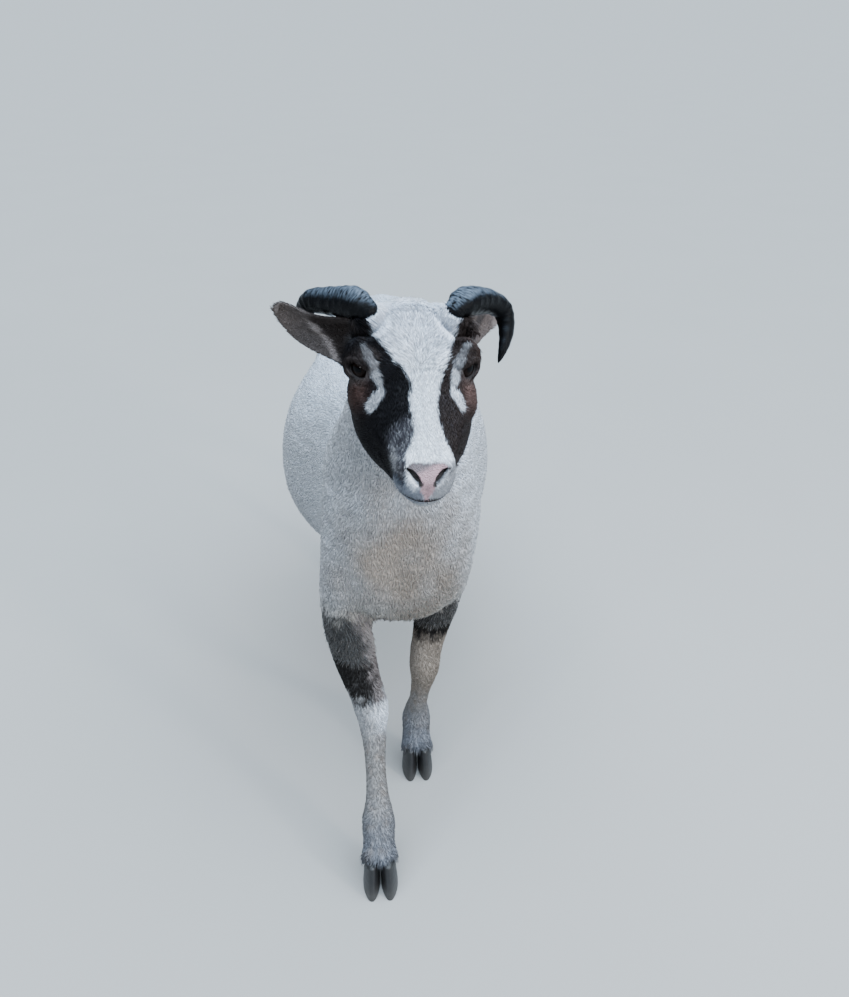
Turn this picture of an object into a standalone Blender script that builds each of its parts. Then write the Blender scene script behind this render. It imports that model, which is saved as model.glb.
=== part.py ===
"""A shorn Shetland ewe, life size, walking with her head raised, as a still model.

Metres, +Z up. She faces -Y, and +X is her left side. Every size below is measured from the
shoulder: y = 0 lies above the elbow, and z = 0 is the floor. At the end one empty moves the
whole ewe so that the origin is under the middle of her bounding box.
"""

import math
from dataclasses import dataclass

import bmesh
import bpy
from mathutils import Matrix, Vector

# Driving sizes
GAP = 0.0003  # left between nodes that touch
EYE_CENTRE = Vector((0.014, -0.158, 0.6775))  # middle of the head, between the eyes
HEAD_DROP = math.radians(14)  # nose below the level
HEAD_YAW = math.radians(3)  # nose towards her left
HEAD_ROLL = math.radians(3)  # left eye below the right
EYEBALL_RADIUS = 0.0135
EYE_SEAT = (0.0432, 0.000, 0.0138)  # across, forward and up of the middle of the head
EYE_GAZE = (0.72, 0.64, 0.26)  # the way the lids open: outward, forward and up
LID_LINE = (0.60, -0.75, 0.20)  # from the inner corner of the lids to the outer
EYE_OPENING = (0.0122, 0.0080, 0.0072)  # half length, and height over and under its line
HORN_WIDTH = 0.032
HORN_DEPTH = {1: 0.030, -1: 0.034}
EAR_LENGTH = 0.082
EAR_WALL = 0.0030
EAR_SAG = {1: 0.03, -1: 0.10}  # how far the middle of each ear hangs
HOOF_LENGTH = 0.054
CLAW_WIDTH = 0.0210
CLAW_ROWS = (  # height, share of the hoof's length, share of the claw's width
    (0.0, 1.00, 1.00),
    (0.012, 0.93, 0.98),
    (0.026, 0.80, 0.92),
    (0.044, 0.62, 0.84),
)

# How finely each form is made
BODY_VOXEL = 0.0065
BODY_FACES = 5000
HEAD_VOXEL = 0.0030
HEAD_FACES = 2700
JOIN_MARGIN = 0.015  # the head and the body are thinned with this much overlap, then cut


@dataclass(frozen=True)
class Hoop:
    """One upright section of the trunk."""

    x: float
    y: float
    top: float
    widest: float
    bottom: float
    half_width: float
    crown: float  # 2 is round above, more is flatter


TRUNK = (
    Hoop(0.003, -0.078, 0.468, 0.405, 0.350, 0.039, 2.0),
    Hoop(0.003, -0.060, 0.500, 0.405, 0.316, 0.070, 2.0),
    Hoop(0.006, -0.025, 0.525, 0.395, 0.290, 0.090, 2.0),
    Hoop(0.011, 0.030, 0.548, 0.385, 0.281, 0.099, 1.95),
    Hoop(0.011, 0.100, 0.562, 0.384, 0.277, 0.113, 1.95),
    Hoop(-0.002, 0.170, 0.560, 0.384, 0.266, 0.140, 2.0),
    Hoop(-0.005, 0.250, 0.557, 0.380, 0.257, 0.158, 2.1),
    Hoop(-0.005, 0.330, 0.562, 0.390, 0.264, 0.149, 2.0),
    Hoop(-0.001, 0.400, 0.570, 0.412, 0.295, 0.123, 1.95),
    Hoop(-0.001, 0.460, 0.568, 0.440, 0.345, 0.108, 2.05),
    Hoop(0.000, 0.520, 0.553, 0.455, 0.378, 0.092, 2.0),
    Hoop(0.000, 0.568, 0.520, 0.452, 0.396, 0.068, 2.0),
    Hoop(0.000, 0.594, 0.487, 0.448, 0.412, 0.036, 2.0),
)


@dataclass(frozen=True)
class Limb:
    """One section across a neck, leg, horn or tail: its middle, half width and half depth."""

    x: float
    y: float
    z: float
    half_width: float
    half_depth: float


NECK = (
    Limb(0.000, 0.090, 0.440, 0.092, 0.105),
    Limb(0.000, 0.050, 0.482, 0.086, 0.102),
    Limb(0.001, 0.018, 0.530, 0.071, 0.086),
    Limb(0.004, -0.008, 0.582, 0.058, 0.071),
    Limb(0.010, -0.034, 0.628, 0.050, 0.062),
    Limb(0.013, -0.066, 0.662, 0.047, 0.054),
    Limb(0.014, -0.098, 0.678, 0.041, 0.046),
)

FORE_RIGHT = (
    Limb(-0.062, 0.045, 0.440, 0.028, 0.050),
    Limb(-0.066, -0.005, 0.375, 0.031, 0.056),
    Limb(-0.070, -0.004, 0.310, 0.032, 0.047),
    Limb(-0.059, -0.048, 0.256, 0.0285, 0.0320),
    Limb(-0.043, -0.084, 0.219, 0.0235, 0.0240),
    Limb(-0.037, -0.096, 0.200, 0.0240, 0.0240),
    Limb(-0.036, -0.106, 0.176, 0.0185, 0.0190),
    Limb(-0.035, -0.130, 0.130, 0.0145, 0.0165),
    Limb(-0.034, -0.151, 0.094, 0.0170, 0.0190),
    Limb(-0.034, -0.164, 0.074, 0.0230, 0.0235),
    Limb(-0.034, -0.182, 0.053, 0.0210, 0.0200),
    Limb(-0.034, -0.198, 0.035, 0.0235, 0.0225),
    Limb(-0.034, -0.208, 0.020, 0.0225, 0.0225),
)
FORE_LEFT = (
    Limb(0.064, 0.070, 0.440, 0.030, 0.050),
    Limb(0.070, 0.020, 0.375, 0.034, 0.056),
    Limb(0.065, 0.034, 0.310, 0.032, 0.047),
    Limb(0.050, 0.016, 0.256, 0.0265, 0.0310),
    Limb(0.038, -0.004, 0.214, 0.0220, 0.0230),
    Limb(0.036, -0.011, 0.195, 0.0235, 0.0235),
    Limb(0.034, -0.008, 0.171, 0.0180, 0.0190),
    Limb(0.030, 0.004, 0.130, 0.0145, 0.0165),
    Limb(0.027, 0.015, 0.094, 0.0165, 0.0190),
    Limb(0.026, 0.017, 0.074, 0.0225, 0.0235),
    Limb(0.025, 0.004, 0.052, 0.0205, 0.0200),
    Limb(0.025, -0.010, 0.034, 0.0230, 0.0225),
    Limb(0.025, -0.020, 0.020, 0.0225, 0.0225),
)
HIND_RIGHT = (
    Limb(-0.062, 0.470, 0.480, 0.048, 0.082),
    Limb(-0.082, 0.440, 0.400, 0.046, 0.080),
    Limb(-0.088, 0.432, 0.340, 0.038, 0.062),
    Limb(-0.080, 0.466, 0.278, 0.029, 0.038),
    Limb(-0.072, 0.508, 0.238, 0.0195, 0.0260),
    Limb(-0.069, 0.522, 0.212, 0.0215, 0.0265),
    Limb(-0.066, 0.519, 0.185, 0.0180, 0.0215),
    Limb(-0.064, 0.509, 0.135, 0.0145, 0.0170),
    Limb(-0.062, 0.499, 0.096, 0.0165, 0.0190),
    Limb(-0.062, 0.496, 0.076, 0.0215, 0.0225),
    Limb(-0.062, 0.483, 0.053, 0.0190, 0.0190),
    Limb(-0.062, 0.468, 0.034, 0.0220, 0.0215),
    Limb(-0.062, 0.458, 0.020, 0.0210, 0.0215),
)
HIND_LEFT = (
    Limb(0.062, 0.485, 0.480, 0.048, 0.082),
    Limb(0.082, 0.462, 0.400, 0.046, 0.080),
    Limb(0.086, 0.462, 0.340, 0.038, 0.062),
    Limb(0.078, 0.510, 0.286, 0.029, 0.038),
    Limb(0.070, 0.562, 0.252, 0.0195, 0.0260),
    Limb(0.067, 0.580, 0.228, 0.0215, 0.0265),
    Limb(0.065, 0.583, 0.200, 0.0180, 0.0215),
    Limb(0.062, 0.586, 0.145, 0.0145, 0.0170),
    Limb(0.060, 0.590, 0.099, 0.0165, 0.0190),
    Limb(0.060, 0.590, 0.077, 0.0215, 0.0225),
    Limb(0.060, 0.578, 0.053, 0.0190, 0.0190),
    Limb(0.060, 0.564, 0.034, 0.0220, 0.0215),
    Limb(0.060, 0.554, 0.020, 0.0210, 0.0215),
)
LEGS = {
    "fore_leg_right": FORE_RIGHT,
    "fore_leg_left": FORE_LEFT,
    "hind_leg_right": HIND_RIGHT,
    "hind_leg_left": HIND_LEFT,
}
KNEE_ROW = 5  # the section at the knee or the hock
CORONET_ROW = 11  # the section where the hair ends and the claws begin

# The leg cuts: a point of each plane and its normal, which points to the leg's side
ELBOW_CUT = (Vector((0, 0, 0.272)), Vector((0, 0, -1)))
THIGH_CUT = (Vector((0, 0.345, 0.255)), Vector((0, 0.454, -0.891)))
NECK_CUT = (Vector((0, 0.020, 0.520)), Vector((0, -0.45, 0.893)))
THROAT_CUT = (Vector((0, -0.070, 0.680)), Vector((0, -0.97, 0.243)))


@dataclass(frozen=True)
class Face:
    """One section across the head, in its own frame: s runs from the eyes to the nose."""

    s: float
    top: float
    widest: float
    bottom: float
    half_width: float
    crown: float
    jaw: float  # under 2 the lower half narrows to the jaw


SKULL = (
    Face(-0.098, 0.020, -0.010, -0.048, 0.034, 2.0, 2.0),
    Face(-0.082, 0.040, -0.008, -0.066, 0.043, 2.1, 2.0),
    Face(-0.060, 0.051, -0.007, -0.082, 0.049, 2.2, 2.0),
    Face(-0.037, 0.053, -0.009, -0.088, 0.0530, 2.2, 2.0),
    Face(-0.014, 0.049, -0.012, -0.088, 0.0570, 2.2, 2.0),
    Face(0.006, 0.043, -0.017, -0.084, 0.0580, 2.1, 2.1),
    Face(0.026, 0.036, -0.023, -0.077, 0.0565, 2.0, 2.1),
    Face(0.046, 0.029, -0.027, -0.070, 0.0520, 1.95, 2.0),
    Face(0.066, 0.023, -0.029, -0.063, 0.0445, 1.95, 1.9),
    Face(0.086, 0.017, -0.026, -0.057, 0.0350, 2.05, 1.8),
    Face(0.104, 0.011, -0.021, -0.053, 0.0285, 2.2, 1.75),
    Face(0.118, 0.004, -0.017, -0.048, 0.0255, 2.2, 1.7),
    Face(0.128, -0.003, -0.017, -0.041, 0.0200, 2.1, 1.75),
    Face(0.134, -0.010, -0.019, -0.032, 0.0115, 2.0, 1.9),
)
HORN_PATHS = {  # across, forward and up of the middle of the head, from the root to the tip
    1: (
        (0.0365, -0.038, 0.0345),
        (0.0450, -0.044, 0.0458),
        (0.0550, -0.054, 0.0500),
        (0.0695, -0.067, 0.0440),
        (0.0847, -0.078, 0.0355),
        (0.0985, -0.082, 0.0245),
        (0.1025, -0.074, 0.0140),
        (0.1010, -0.062, 0.0050),
        (0.0965, -0.050, -0.0040),
        (0.0925, -0.043, -0.0125),
    ),
    -1: (
        (0.0365, -0.038, 0.0335),
        (0.0440, -0.043, 0.0448),
        (0.0520, -0.052, 0.0480),
        (0.0640, -0.065, 0.0415),
        (0.0785, -0.079, 0.0340),
        (0.0900, -0.088, 0.0285),
        (0.0965, -0.091, 0.0190),
        (0.0970, -0.090, 0.0080),
        (0.0935, -0.087, -0.0010),
        (0.0880, -0.084, -0.0090),
    ),
}
EAR_AXES = {  # the reach of each ear and the way its cup faces: across, back and up
    1: (Vector((0.0470, 0.0570, -0.0120)), Vector((0.75, -0.60, 0.10))),
    -1: (Vector((-0.0735, 0.0200, 0.0195)), Vector((-0.30, -0.93, 0.05))),
}


def head_frame():
    """The matrix from the head's frame to the ewe's: -Y to the nose, +Z to the forehead."""
    turn = Matrix.Rotation(HEAD_YAW, 4, "Z") @ Matrix.Rotation(HEAD_DROP, 4, "X")
    return Matrix.Translation(EYE_CENTRE) @ turn @ Matrix.Rotation(HEAD_ROLL, 4, "Y")


def on_head(v, s, w):
    """A point v to her left, s forward and w up in the head's frame."""
    return head_frame() @ Vector((v, -s, w))


def clear_scene():
    for old in list(bpy.data.objects):
        bpy.data.objects.remove(old)


def collection(name):
    made = bpy.data.collections.new(name)
    bpy.context.scene.collection.children.link(made)
    return made


def link(name, mesh, group=None):
    made = bpy.data.objects.new(name, mesh)
    (group or bpy.context.scene.collection).objects.link(made)
    return made


def drop(*objects):
    for old in objects:
        bpy.data.objects.remove(old)


def loft(name, rings, group=None, endless=False):
    """A closed body through rings of points. Its ends are filled, or meet when endless."""
    made = bmesh.new()
    rows = [[made.verts.new(point) for point in ring] for ring in rings]
    for first, second in zip(rows, rows[1:] + rows[:1] * endless):
        for here in range(len(first)):
            after = (here + 1) % len(first)
            made.faces.new((first[here], first[after], second[after], second[here]))
    if not endless:
        made.faces.new(list(reversed(rows[0])))
        made.faces.new(rows[-1])
    bmesh.ops.triangulate(made, faces=[face for face in made.faces if len(face.verts) > 4])
    bmesh.ops.recalc_face_normals(made, faces=made.faces)
    mesh = bpy.data.meshes.new(name)
    made.to_mesh(mesh)
    made.free()
    return link(name, mesh, group)


def ellipsoid(name, centre, radii, turn=None, segments=24, rows=16, group=None):
    made = bmesh.new()
    bmesh.ops.create_uvsphere(made, u_segments=segments, v_segments=rows, radius=1)
    made.transform(Matrix.Diagonal((*radii, 1)))
    if turn is not None:
        made.transform(turn.to_4x4())
    made.transform(Matrix.Translation(centre))
    mesh = bpy.data.meshes.new(name)
    made.to_mesh(mesh)
    made.free()
    return link(name, mesh, group)


def half_space(name, point, normal, size=1.6):
    """A box whose face lies on the plane through point, on the side that normal points to."""
    made = bmesh.new()
    bmesh.ops.create_cube(made, size=size)
    made.transform(Matrix.Translation((0, 0, size / 2)))
    made.transform(normal.to_track_quat("Z", "Y").to_matrix().to_4x4())
    made.transform(Matrix.Translation(point))
    mesh = bpy.data.meshes.new(name)
    made.to_mesh(mesh)
    made.free()
    return link(name, mesh)


def apply(target):
    """Replaces the object's mesh with the mesh that its modifiers give."""
    graph = bpy.context.evaluated_depsgraph_get()
    mesh = bpy.data.meshes.new_from_object(target.evaluated_get(graph))
    target.modifiers.clear()
    target.data = mesh
    return target


def boolean(target, cutter, operation, solver="MANIFOLD"):
    """Applies one Boolean with the cutter, which is then removed."""
    modifier = target.modifiers.new(operation.title(), "BOOLEAN")
    modifier.operation = operation
    modifier.solver = solver
    modifier.object = cutter
    apply(target)
    drop(cutter)
    return target


def union(name, pieces):
    """One closed body from pieces that overlap. The pieces are then removed."""
    group = collection(name + "_pieces")
    for piece in pieces:
        for owner in list(piece.users_collection):
            owner.objects.unlink(piece)
        group.objects.link(piece)
    base, rest = pieces[0], pieces[1:]
    group.objects.unlink(base)
    bpy.context.scene.collection.objects.link(base)
    modifier = base.modifiers.new("Union", "BOOLEAN")
    modifier.operation = "UNION"
    modifier.solver = "MANIFOLD"  # EXACT takes many times as long on these dense skins
    modifier.operand_type = "COLLECTION"
    modifier.collection = group
    apply(base)
    drop(*rest)
    bpy.data.collections.remove(group)
    base.name = name
    return base


def copy_of(source, name):
    return link(name, source.data.copy())


def swollen(source, by=GAP):
    """A copy grown outwards, used to cut a neighbour clear of the source."""
    grown = copy_of(source, source.name + "_swollen")
    modifier = grown.modifiers.new("Grow", "DISPLACE")
    modifier.strength = by
    modifier.mid_level = 0
    return apply(grown)


def fair(target, voxel, rounds):
    """Blends the joins of a union: remeshed evenly, then smoothed."""
    remesh = target.modifiers.new("Remesh", "REMESH")
    remesh.mode = "VOXEL"
    remesh.voxel_size = voxel
    smooth = target.modifiers.new("Smooth", "SMOOTH")
    smooth.factor = 0.5
    smooth.iterations = rounds
    return apply(target)


def thin(target, faces):
    """Fewer triangles, about so many, kept where the form bends."""
    modifier = target.modifiers.new("Thin", "DECIMATE")
    triangles = sum(len(polygon.vertices) - 2 for polygon in target.data.polygons)
    modifier.ratio = faces / triangles
    modifier.use_collapse_triangulate = True
    return apply(target)


def largest_body(target):
    """Keeps only the largest closed surface of a mesh."""
    made = bmesh.new()
    made.from_mesh(target.data)
    left, islands = set(made.verts), []
    while left:
        island, front = set(), [left.pop()]
        while front:
            vertex = front.pop()
            island.add(vertex)
            for edge in vertex.link_edges:
                other = edge.other_vert(vertex)
                if other in left:
                    left.remove(other)
                    front.append(other)
        islands.append(island)
    keep = max(islands, key=len)
    bmesh.ops.delete(made, geom=[v for v in made.verts if v not in keep], context="VERTS")
    made.to_mesh(target.data)
    made.free()
    return target


def split(target, point, normal, near_name, far_name):
    """Parts a body with a thin cut. The far piece lies on the side that normal points to."""
    normal = normal.normalized()
    far = copy_of(target, far_name)
    far_side = half_space("far_side", point + normal * GAP / 2, normal)
    boolean(far, far_side, "INTERSECT")
    near_side = half_space("near_side", point - normal * GAP / 2, -normal)
    boolean(target, near_side, "INTERSECT")
    target.name = near_name
    return target, far


def spline_rows(rows, steps):
    """Rows of numbers with steps - 1 more rows between each two, on a smooth curve."""
    padded = [rows[0], *rows, rows[-1]]
    made = []
    for before, start, end, after in zip(padded, padded[1:], padded[2:], padded[3:]):
        for step in range(steps):
            t = step / steps
            made.append(
                tuple(
                    0.5
                    * (
                        2 * b
                        + (c - a) * t
                        + (2 * a - 5 * b + 4 * c - d) * t * t
                        + (3 * b - a - 3 * c + d) * t**3
                    )
                    for a, b, c, d in zip(before, start, end, after)
                )
            )
    made.append(tuple(rows[-1]))
    return made


def egg(half_width, rise, drop_, crown, keel, count):
    """Points round a section: a superellipse whose upper and lower halves differ."""
    made = []
    for step in range(count):
        angle = 2 * math.pi * step / count
        across, up = math.cos(angle), math.sin(angle)
        power = crown if up > 0 else keel
        reach = rise if up > 0 else drop_
        made.append(
            (
                half_width * math.copysign(abs(across) ** (2 / power), across),
                reach * math.copysign(abs(up) ** (2 / power), up),
            )
        )
    return made


def trunk_loft():
    rows = spline_rows(
        [(h.x, h.y, h.top, h.widest, h.bottom, h.half_width, h.crown) for h in TRUNK], 3
    )
    rings = []
    for middle, y, top, widest, bottom, half_width, crown in rows:
        points = egg(half_width, top - widest, widest - bottom, crown, 2.4, 36)
        rings.append([Vector((middle + x, y, widest + z)) for x, z in points])
    return loft("trunk", rings)


def limb_rings(limbs, steps, count):
    """Rings along a limb, each square to its path, with the depth in the fore-and-aft plane."""
    rows = spline_rows([(l.x, l.y, l.z, l.half_width, l.half_depth) for l in limbs], steps)
    middles = [Vector(row[:3]) for row in rows]
    rings = []
    for index, (middle, row) in enumerate(zip(middles, rows)):
        along = middles[min(index + 1, len(rows) - 1)] - middles[max(index - 1, 0)]
        side = Vector((1, 0, 0))
        side = (side - along * side.dot(along) / along.length_squared).normalized()
        deep = along.cross(side).normalized()
        rings.append(
            [
                middle
                + side * row[3] * math.cos(2 * math.pi * step / count)
                + deep * row[4] * math.sin(2 * math.pi * step / count)
                for step in range(count)
            ]
        )
    return rings


def body_blend():
    """Trunk, neck and legs as one closed surface, with the bends between them filled."""
    pieces = [trunk_loft(), loft("neck_form", limb_rings(NECK, 3, 28))]
    pieces += [loft(name + "_form", limb_rings(rows, 3, 20)) for name, rows in LEGS.items()]
    pieces.append(ellipsoid("udder", Vector((0, 0.415, 0.318)), (0.045, 0.050, 0.030)))
    return fair(union("body", pieces), BODY_VOXEL, 6)


def head_forms():
    """The pieces that blend into the head without ears, horns and eyes."""
    rows = spline_rows(
        [(f.s, f.top, f.widest, f.bottom, f.half_width, f.crown, f.jaw) for f in SKULL], 3
    )
    rings = []
    for s, top, widest, bottom, half_width, crown, jaw in rows:
        points = egg(half_width, top - widest, widest - bottom, crown, jaw, 36)
        rings.append([on_head(v, s, widest + w) for v, w in points])
    pieces = [loft("skull", rings)]
    turn = head_frame().to_3x3()
    for side in (-1, 1):
        forms = (
            ("orbit", (0.0475, -0.006, 0.013), (0.0168, 0.0190, 0.0175)),
            ("brow", (0.040, -0.010, 0.0260), (0.0185, 0.028, 0.0080)),
            ("cheekbone", (0.040, 0.010, -0.0090), (0.0205, 0.042, 0.0185)),
            ("horn_seat", (0.036, -0.044, 0.034), (0.020, 0.022, 0.017)),
            ("nose_wing", (0.0150, 0.112, -0.0050), (0.0100, 0.0140, 0.0095)),
            ("upper_lip", (0.0108, 0.118, -0.0260), (0.0120, 0.0120, 0.0090)),
        )
        for name, (v, s, w), radii in forms:
            centre = on_head(side * v, s, w)
            pieces.append(ellipsoid(name, centre, radii, turn))
    pieces.append(ellipsoid("chin", on_head(0, 0.108, -0.044), (0.0135, 0.0140, 0.0085), turn))
    return pieces


def eye_frame(side):
    """Centre of an eyeball, the way its lids open, and the axes along and across the lids."""
    v, s, w = EYE_SEAT
    turn = head_frame().to_3x3()
    looks, along = (turn @ Vector((side * a, -b, c)) for a, b, c in (EYE_GAZE, LID_LINE))
    looks.normalize()
    along = (along - looks * along.dot(looks)).normalized()
    up = along.cross(looks).normalized()
    if up.z < 0:
        up.negate()
    return on_head(side * v, s, w), looks, along, up


def almond(angle, grow=1.0):
    """A point of the eye's opening: along it and across it."""
    length, over, under = EYE_OPENING
    height = over if math.sin(angle) > 0 else under
    rise = math.copysign(abs(math.sin(angle)) ** 1.25, math.sin(angle))
    return length * grow * math.cos(angle), height * grow * rise


def eye_opening(side):
    """The cutter that opens the lids."""
    centre, looks, along, up = eye_frame(side)
    rings = []
    for out in (0.004, 0.034):
        ring = [almond(2 * math.pi * k / 20) for k in range(20)]
        rings.append([centre + looks * out + along * a + up * b for a, b in ring])
    return loft("eye_opening", rings)


def lid_rim(side):
    """The rounded rim of both lids, one roll round the opening."""
    centre, looks, along, up = eye_frame(side)
    count = 24
    middles = []
    for step in range(count):
        a, b = almond(2 * math.pi * step / count, 1.03)
        out = math.sqrt((EYEBALL_RADIUS + 0.0013) ** 2 - a * a - b * b)
        middles.append(centre + looks * out + along * a + up * b)
    rings = []
    for step, middle in enumerate(middles):
        tangent = (middles[(step + 1) % count] - middles[step - 1]).normalized()
        outward = (middle - centre).normalized()
        across = tangent.cross(outward).normalized()
        thick = 0.0014 if math.sin(2 * math.pi * step / count) > 0 else 0.0012
        turns = [2 * math.pi * k / 6 for k in range(6)]
        rings.append(
            [middle + (outward * math.cos(k) + across * math.sin(k)) * thick for k in turns]
        )
    return loft("lid_rim", rings, endless=True)


def nostril(side):
    """The cutter of one nostril: a curved slit that opens out and down."""
    rings = []
    steps = 6
    for step in range(steps + 1):
        t = step / steps
        v = 0.0066 + 0.0120 * t
        s = 0.1340 - 0.0060 * t - 0.0050 * t * t
        w = -0.0108 + 0.0096 * t**0.8
        wide = 0.0008 + 0.0024 * math.sin(math.pi * min(1, 0.15 + 0.85 * t**0.7))
        rings.append(
            [
                on_head(
                    side * (v + wide * 0.5 * math.cos(2 * math.pi * k / 8)),
                    s + 0.0065 * math.sin(2 * math.pi * k / 8),
                    w - wide * math.cos(2 * math.pi * k / 8),
                )
                for k in range(8)
            ]
        )
    return loft("nostril", rings)


def mouth_line(head):
    """The cutter of the mouth: a thin groove that follows the surface round the muzzle."""
    rings = []
    steps = 20
    middle = on_head(0, 0.085, -0.031)
    turn = head_frame().to_3x3()
    for step in range(steps + 1):
        t = -1 + 2 * step / steps
        swing = math.radians(100) * t
        rise = 0.13 * abs(t) ** 1.5 - 0.02 * (1 - abs(t))
        out = (turn @ Vector((math.sin(swing), -math.cos(swing), rise))).normalized()
        _, hit, _, _ = head.ray_cast(middle + out * 0.1, -out)
        deep = 0.0022 * (1 - 0.6 * abs(t))
        up = turn @ Vector((0, 0, 1))
        rings.append(
            [
                hit
                + out * deep * math.cos(2 * math.pi * k / 6)
                + up * 0.0010 * math.sin(2 * math.pi * k / 6)
                for k in range(6)
            ]
        )
    return loft("mouth_line", rings)


def horn(side):
    """One horn: back and out from the poll, then down and forward, ringed and tapering."""
    rows = spline_rows(HORN_PATHS[side], 4)
    middles = [on_head(side * v, s, w) for v, s, w in rows]
    last = len(rows) - 1
    rings = []
    for index, middle in enumerate(middles):
        share = index / last
        taper = (1 - share**1.6) ** 0.75 * (1 - 0.035 * math.cos(share * 50))
        taper = max(taper, 0.06)
        along = middles[min(index + 1, last)] - middles[max(index - 1, 0)]
        keel = head_frame().to_3x3() @ Vector((side * 0.5, 0.2, 0.85))
        keel = (keel - along * keel.dot(along) / along.length_squared).normalized()
        across = along.cross(keel).normalized()
        rings.append(
            [
                middle
                + across * HORN_WIDTH / 2 * taper * math.cos(2 * math.pi * k / 10)
                + keel * HORN_DEPTH[side] / 2 * taper * math.sin(2 * math.pi * k / 10)
                for k in range(10)
            ]
        )
    return loft("horn_left" if side > 0 else "horn_right", rings)


def ear(side):
    """One ear: a rolled, cupped leaf with a wall of its real thickness."""
    turn = head_frame().to_3x3()
    root = on_head(side * 0.0545, -0.046, 0.0145 if side < 0 else 0.0075)
    reach, faces = (turn @ axis for axis in EAR_AXES[side])
    along = reach.normalized()
    faces = (faces - along * faces.dot(along)).normalized()
    across = along.cross(faces).normalized()
    made = bmesh.new()
    rows = []
    steps, columns = 11, 10
    for step in range(steps + 1):
        t = step / steps
        width = (0.034 + 0.054 * (1 - t) ** 2.4) * (1 - t**6) ** 0.5 + 0.003
        wrap = math.radians(150 * (1 - t) ** 2 + 62)
        radius = width / wrap
        sag = Vector((0, 0, EAR_SAG[side] * t * t * (t - 1)))
        middle = root + along * EAR_LENGTH * 1.10 * (t - 0.14) + sag
        row = []
        for column in range(columns + 1):
            q = -1 + 2 * column / columns
            turn = q * wrap / 2
            row.append(
                made.verts.new(
                    middle
                    + across * radius * math.sin(turn)
                    + faces * (radius * (1 - math.cos(turn)) - radius * 0.6)
                )
            )
        rows.append(row)
    for first, second in zip(rows, rows[1:]):
        for here in range(columns):
            made.faces.new((first[here], first[here + 1], second[here + 1], second[here]))
    mesh = bpy.data.meshes.new("ear")
    made.to_mesh(mesh)
    made.free()
    leaf = link("ear_left" if side > 0 else "ear_right", mesh)
    wall = leaf.modifiers.new("Wall", "SOLIDIFY")
    wall.thickness = EAR_WALL
    wall.offset = 0
    apply(leaf)
    fixed = bmesh.new()
    fixed.from_mesh(leaf.data)
    bmesh.ops.triangulate(fixed, faces=fixed.faces)
    bmesh.ops.recalc_face_normals(fixed, faces=fixed.faces)
    fixed.to_mesh(leaf.data)
    fixed.free()
    return leaf


def claw(name, limbs, side):
    """One claw of a hoof, from its flat sole up to the coronet."""
    coronet = limbs[CORONET_ROW]
    heel = coronet.y + 0.022
    inner = 0.0011
    rings = []
    for height, reach, spread in CLAW_ROWS:
        ring = []
        count = 14
        for step in range(count):
            angle = 2 * math.pi * step / count
            along, out = math.cos(angle), math.sin(angle)
            wide = CLAW_WIDTH / 2 * spread * (1 - 0.28 * max(0.0, along) ** 2)
            y = heel - HOOF_LENGTH * 0.5 * (1 + along * reach) + (1 - reach) * 0.010
            x = inner + CLAW_WIDTH / 2 * spread + wide * math.copysign(abs(out) ** 0.8, out)
            ring.append(Vector((coronet.x + side * x, y, height)))
        rings.append(ring)
    return loft(name, rings)


def tail():
    """The short, broad-based tail, lying close to the rump."""
    rows = (
        Limb(0, 0.556, 0.520, 0.026, 0.018),
        Limb(0, 0.585, 0.500, 0.027, 0.018),
        Limb(0, 0.606, 0.470, 0.026, 0.015),
        Limb(0, 0.614, 0.435, 0.021, 0.012),
        Limb(0, 0.617, 0.405, 0.013, 0.008),
        Limb(0, 0.617, 0.388, 0.004, 0.003),
    )
    return loft("tail", limb_rings(rows, 2, 14))


def leg_nodes(body):
    """Parts the four legs from the trunk, and each at its knee or hock and its coronet."""
    torso, fore_legs = split_region(body, *ELBOW_CUT, 0.12, -1)
    torso, hind_legs = split_region(torso, *THIGH_CUT, 0.30, 1)
    made = {}
    for legs, names in (
        (fore_legs, ("fore_leg_right", "fore_leg_left")),
        (hind_legs, ("hind_leg_right", "hind_leg_left")),
    ):
        for name in names:
            made[name] = island_at(legs, name, LEGS[name][KNEE_ROW])
        drop(legs)
    for name, leg in made.items():
        knee, below = LEGS[name][KNEE_ROW], LEGS[name][KNEE_ROW + 1]
        down = Vector((below.x - knee.x, below.y - knee.y, below.z - knee.z))
        point = Vector((knee.x, knee.y, knee.z))
        _, lower = split(leg, point, down, name + "_upper", name + "_lower")
        coronet, fetlock = LEGS[name][CORONET_ROW], LEGS[name][CORONET_ROW - 2]
        slope = Vector((0, coronet.y - fetlock.y, coronet.z - fetlock.z)).normalized()
        point = Vector((coronet.x, coronet.y, coronet.z))
        boolean(lower, half_space("above", point - slope * GAP / 2, -slope), "INTERSECT")
        for claw_side in (-1, 1):
            inner = "inner" if claw_side * coronet.x < 0 else "outer"
            hoof = claw(f"{name}_claw_{inner}", LEGS[name], claw_side)
            boolean(hoof, half_space("under", point + slope * GAP / 2, slope), "INTERSECT")
    return torso


def split_region(body, point, normal, limit_y, way):
    """Cuts off what lies past the plane, on the side of limit_y that way, -1 or 1, points to."""
    normal = normal.normalized()
    limit, facing = Vector((0, limit_y, 0)), Vector((0, way, 0))
    region = half_space("region", point + normal * GAP / 2, normal)
    boolean(region, half_space("limit", limit, facing), "INTERSECT")
    off = copy_of(body, "cut_off")
    boolean(off, region, "INTERSECT")
    region = half_space("region", point - normal * GAP / 2, normal)
    boolean(region, half_space("limit", limit - facing * GAP, facing), "INTERSECT")
    boolean(body, region, "DIFFERENCE")
    return body, off


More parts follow.
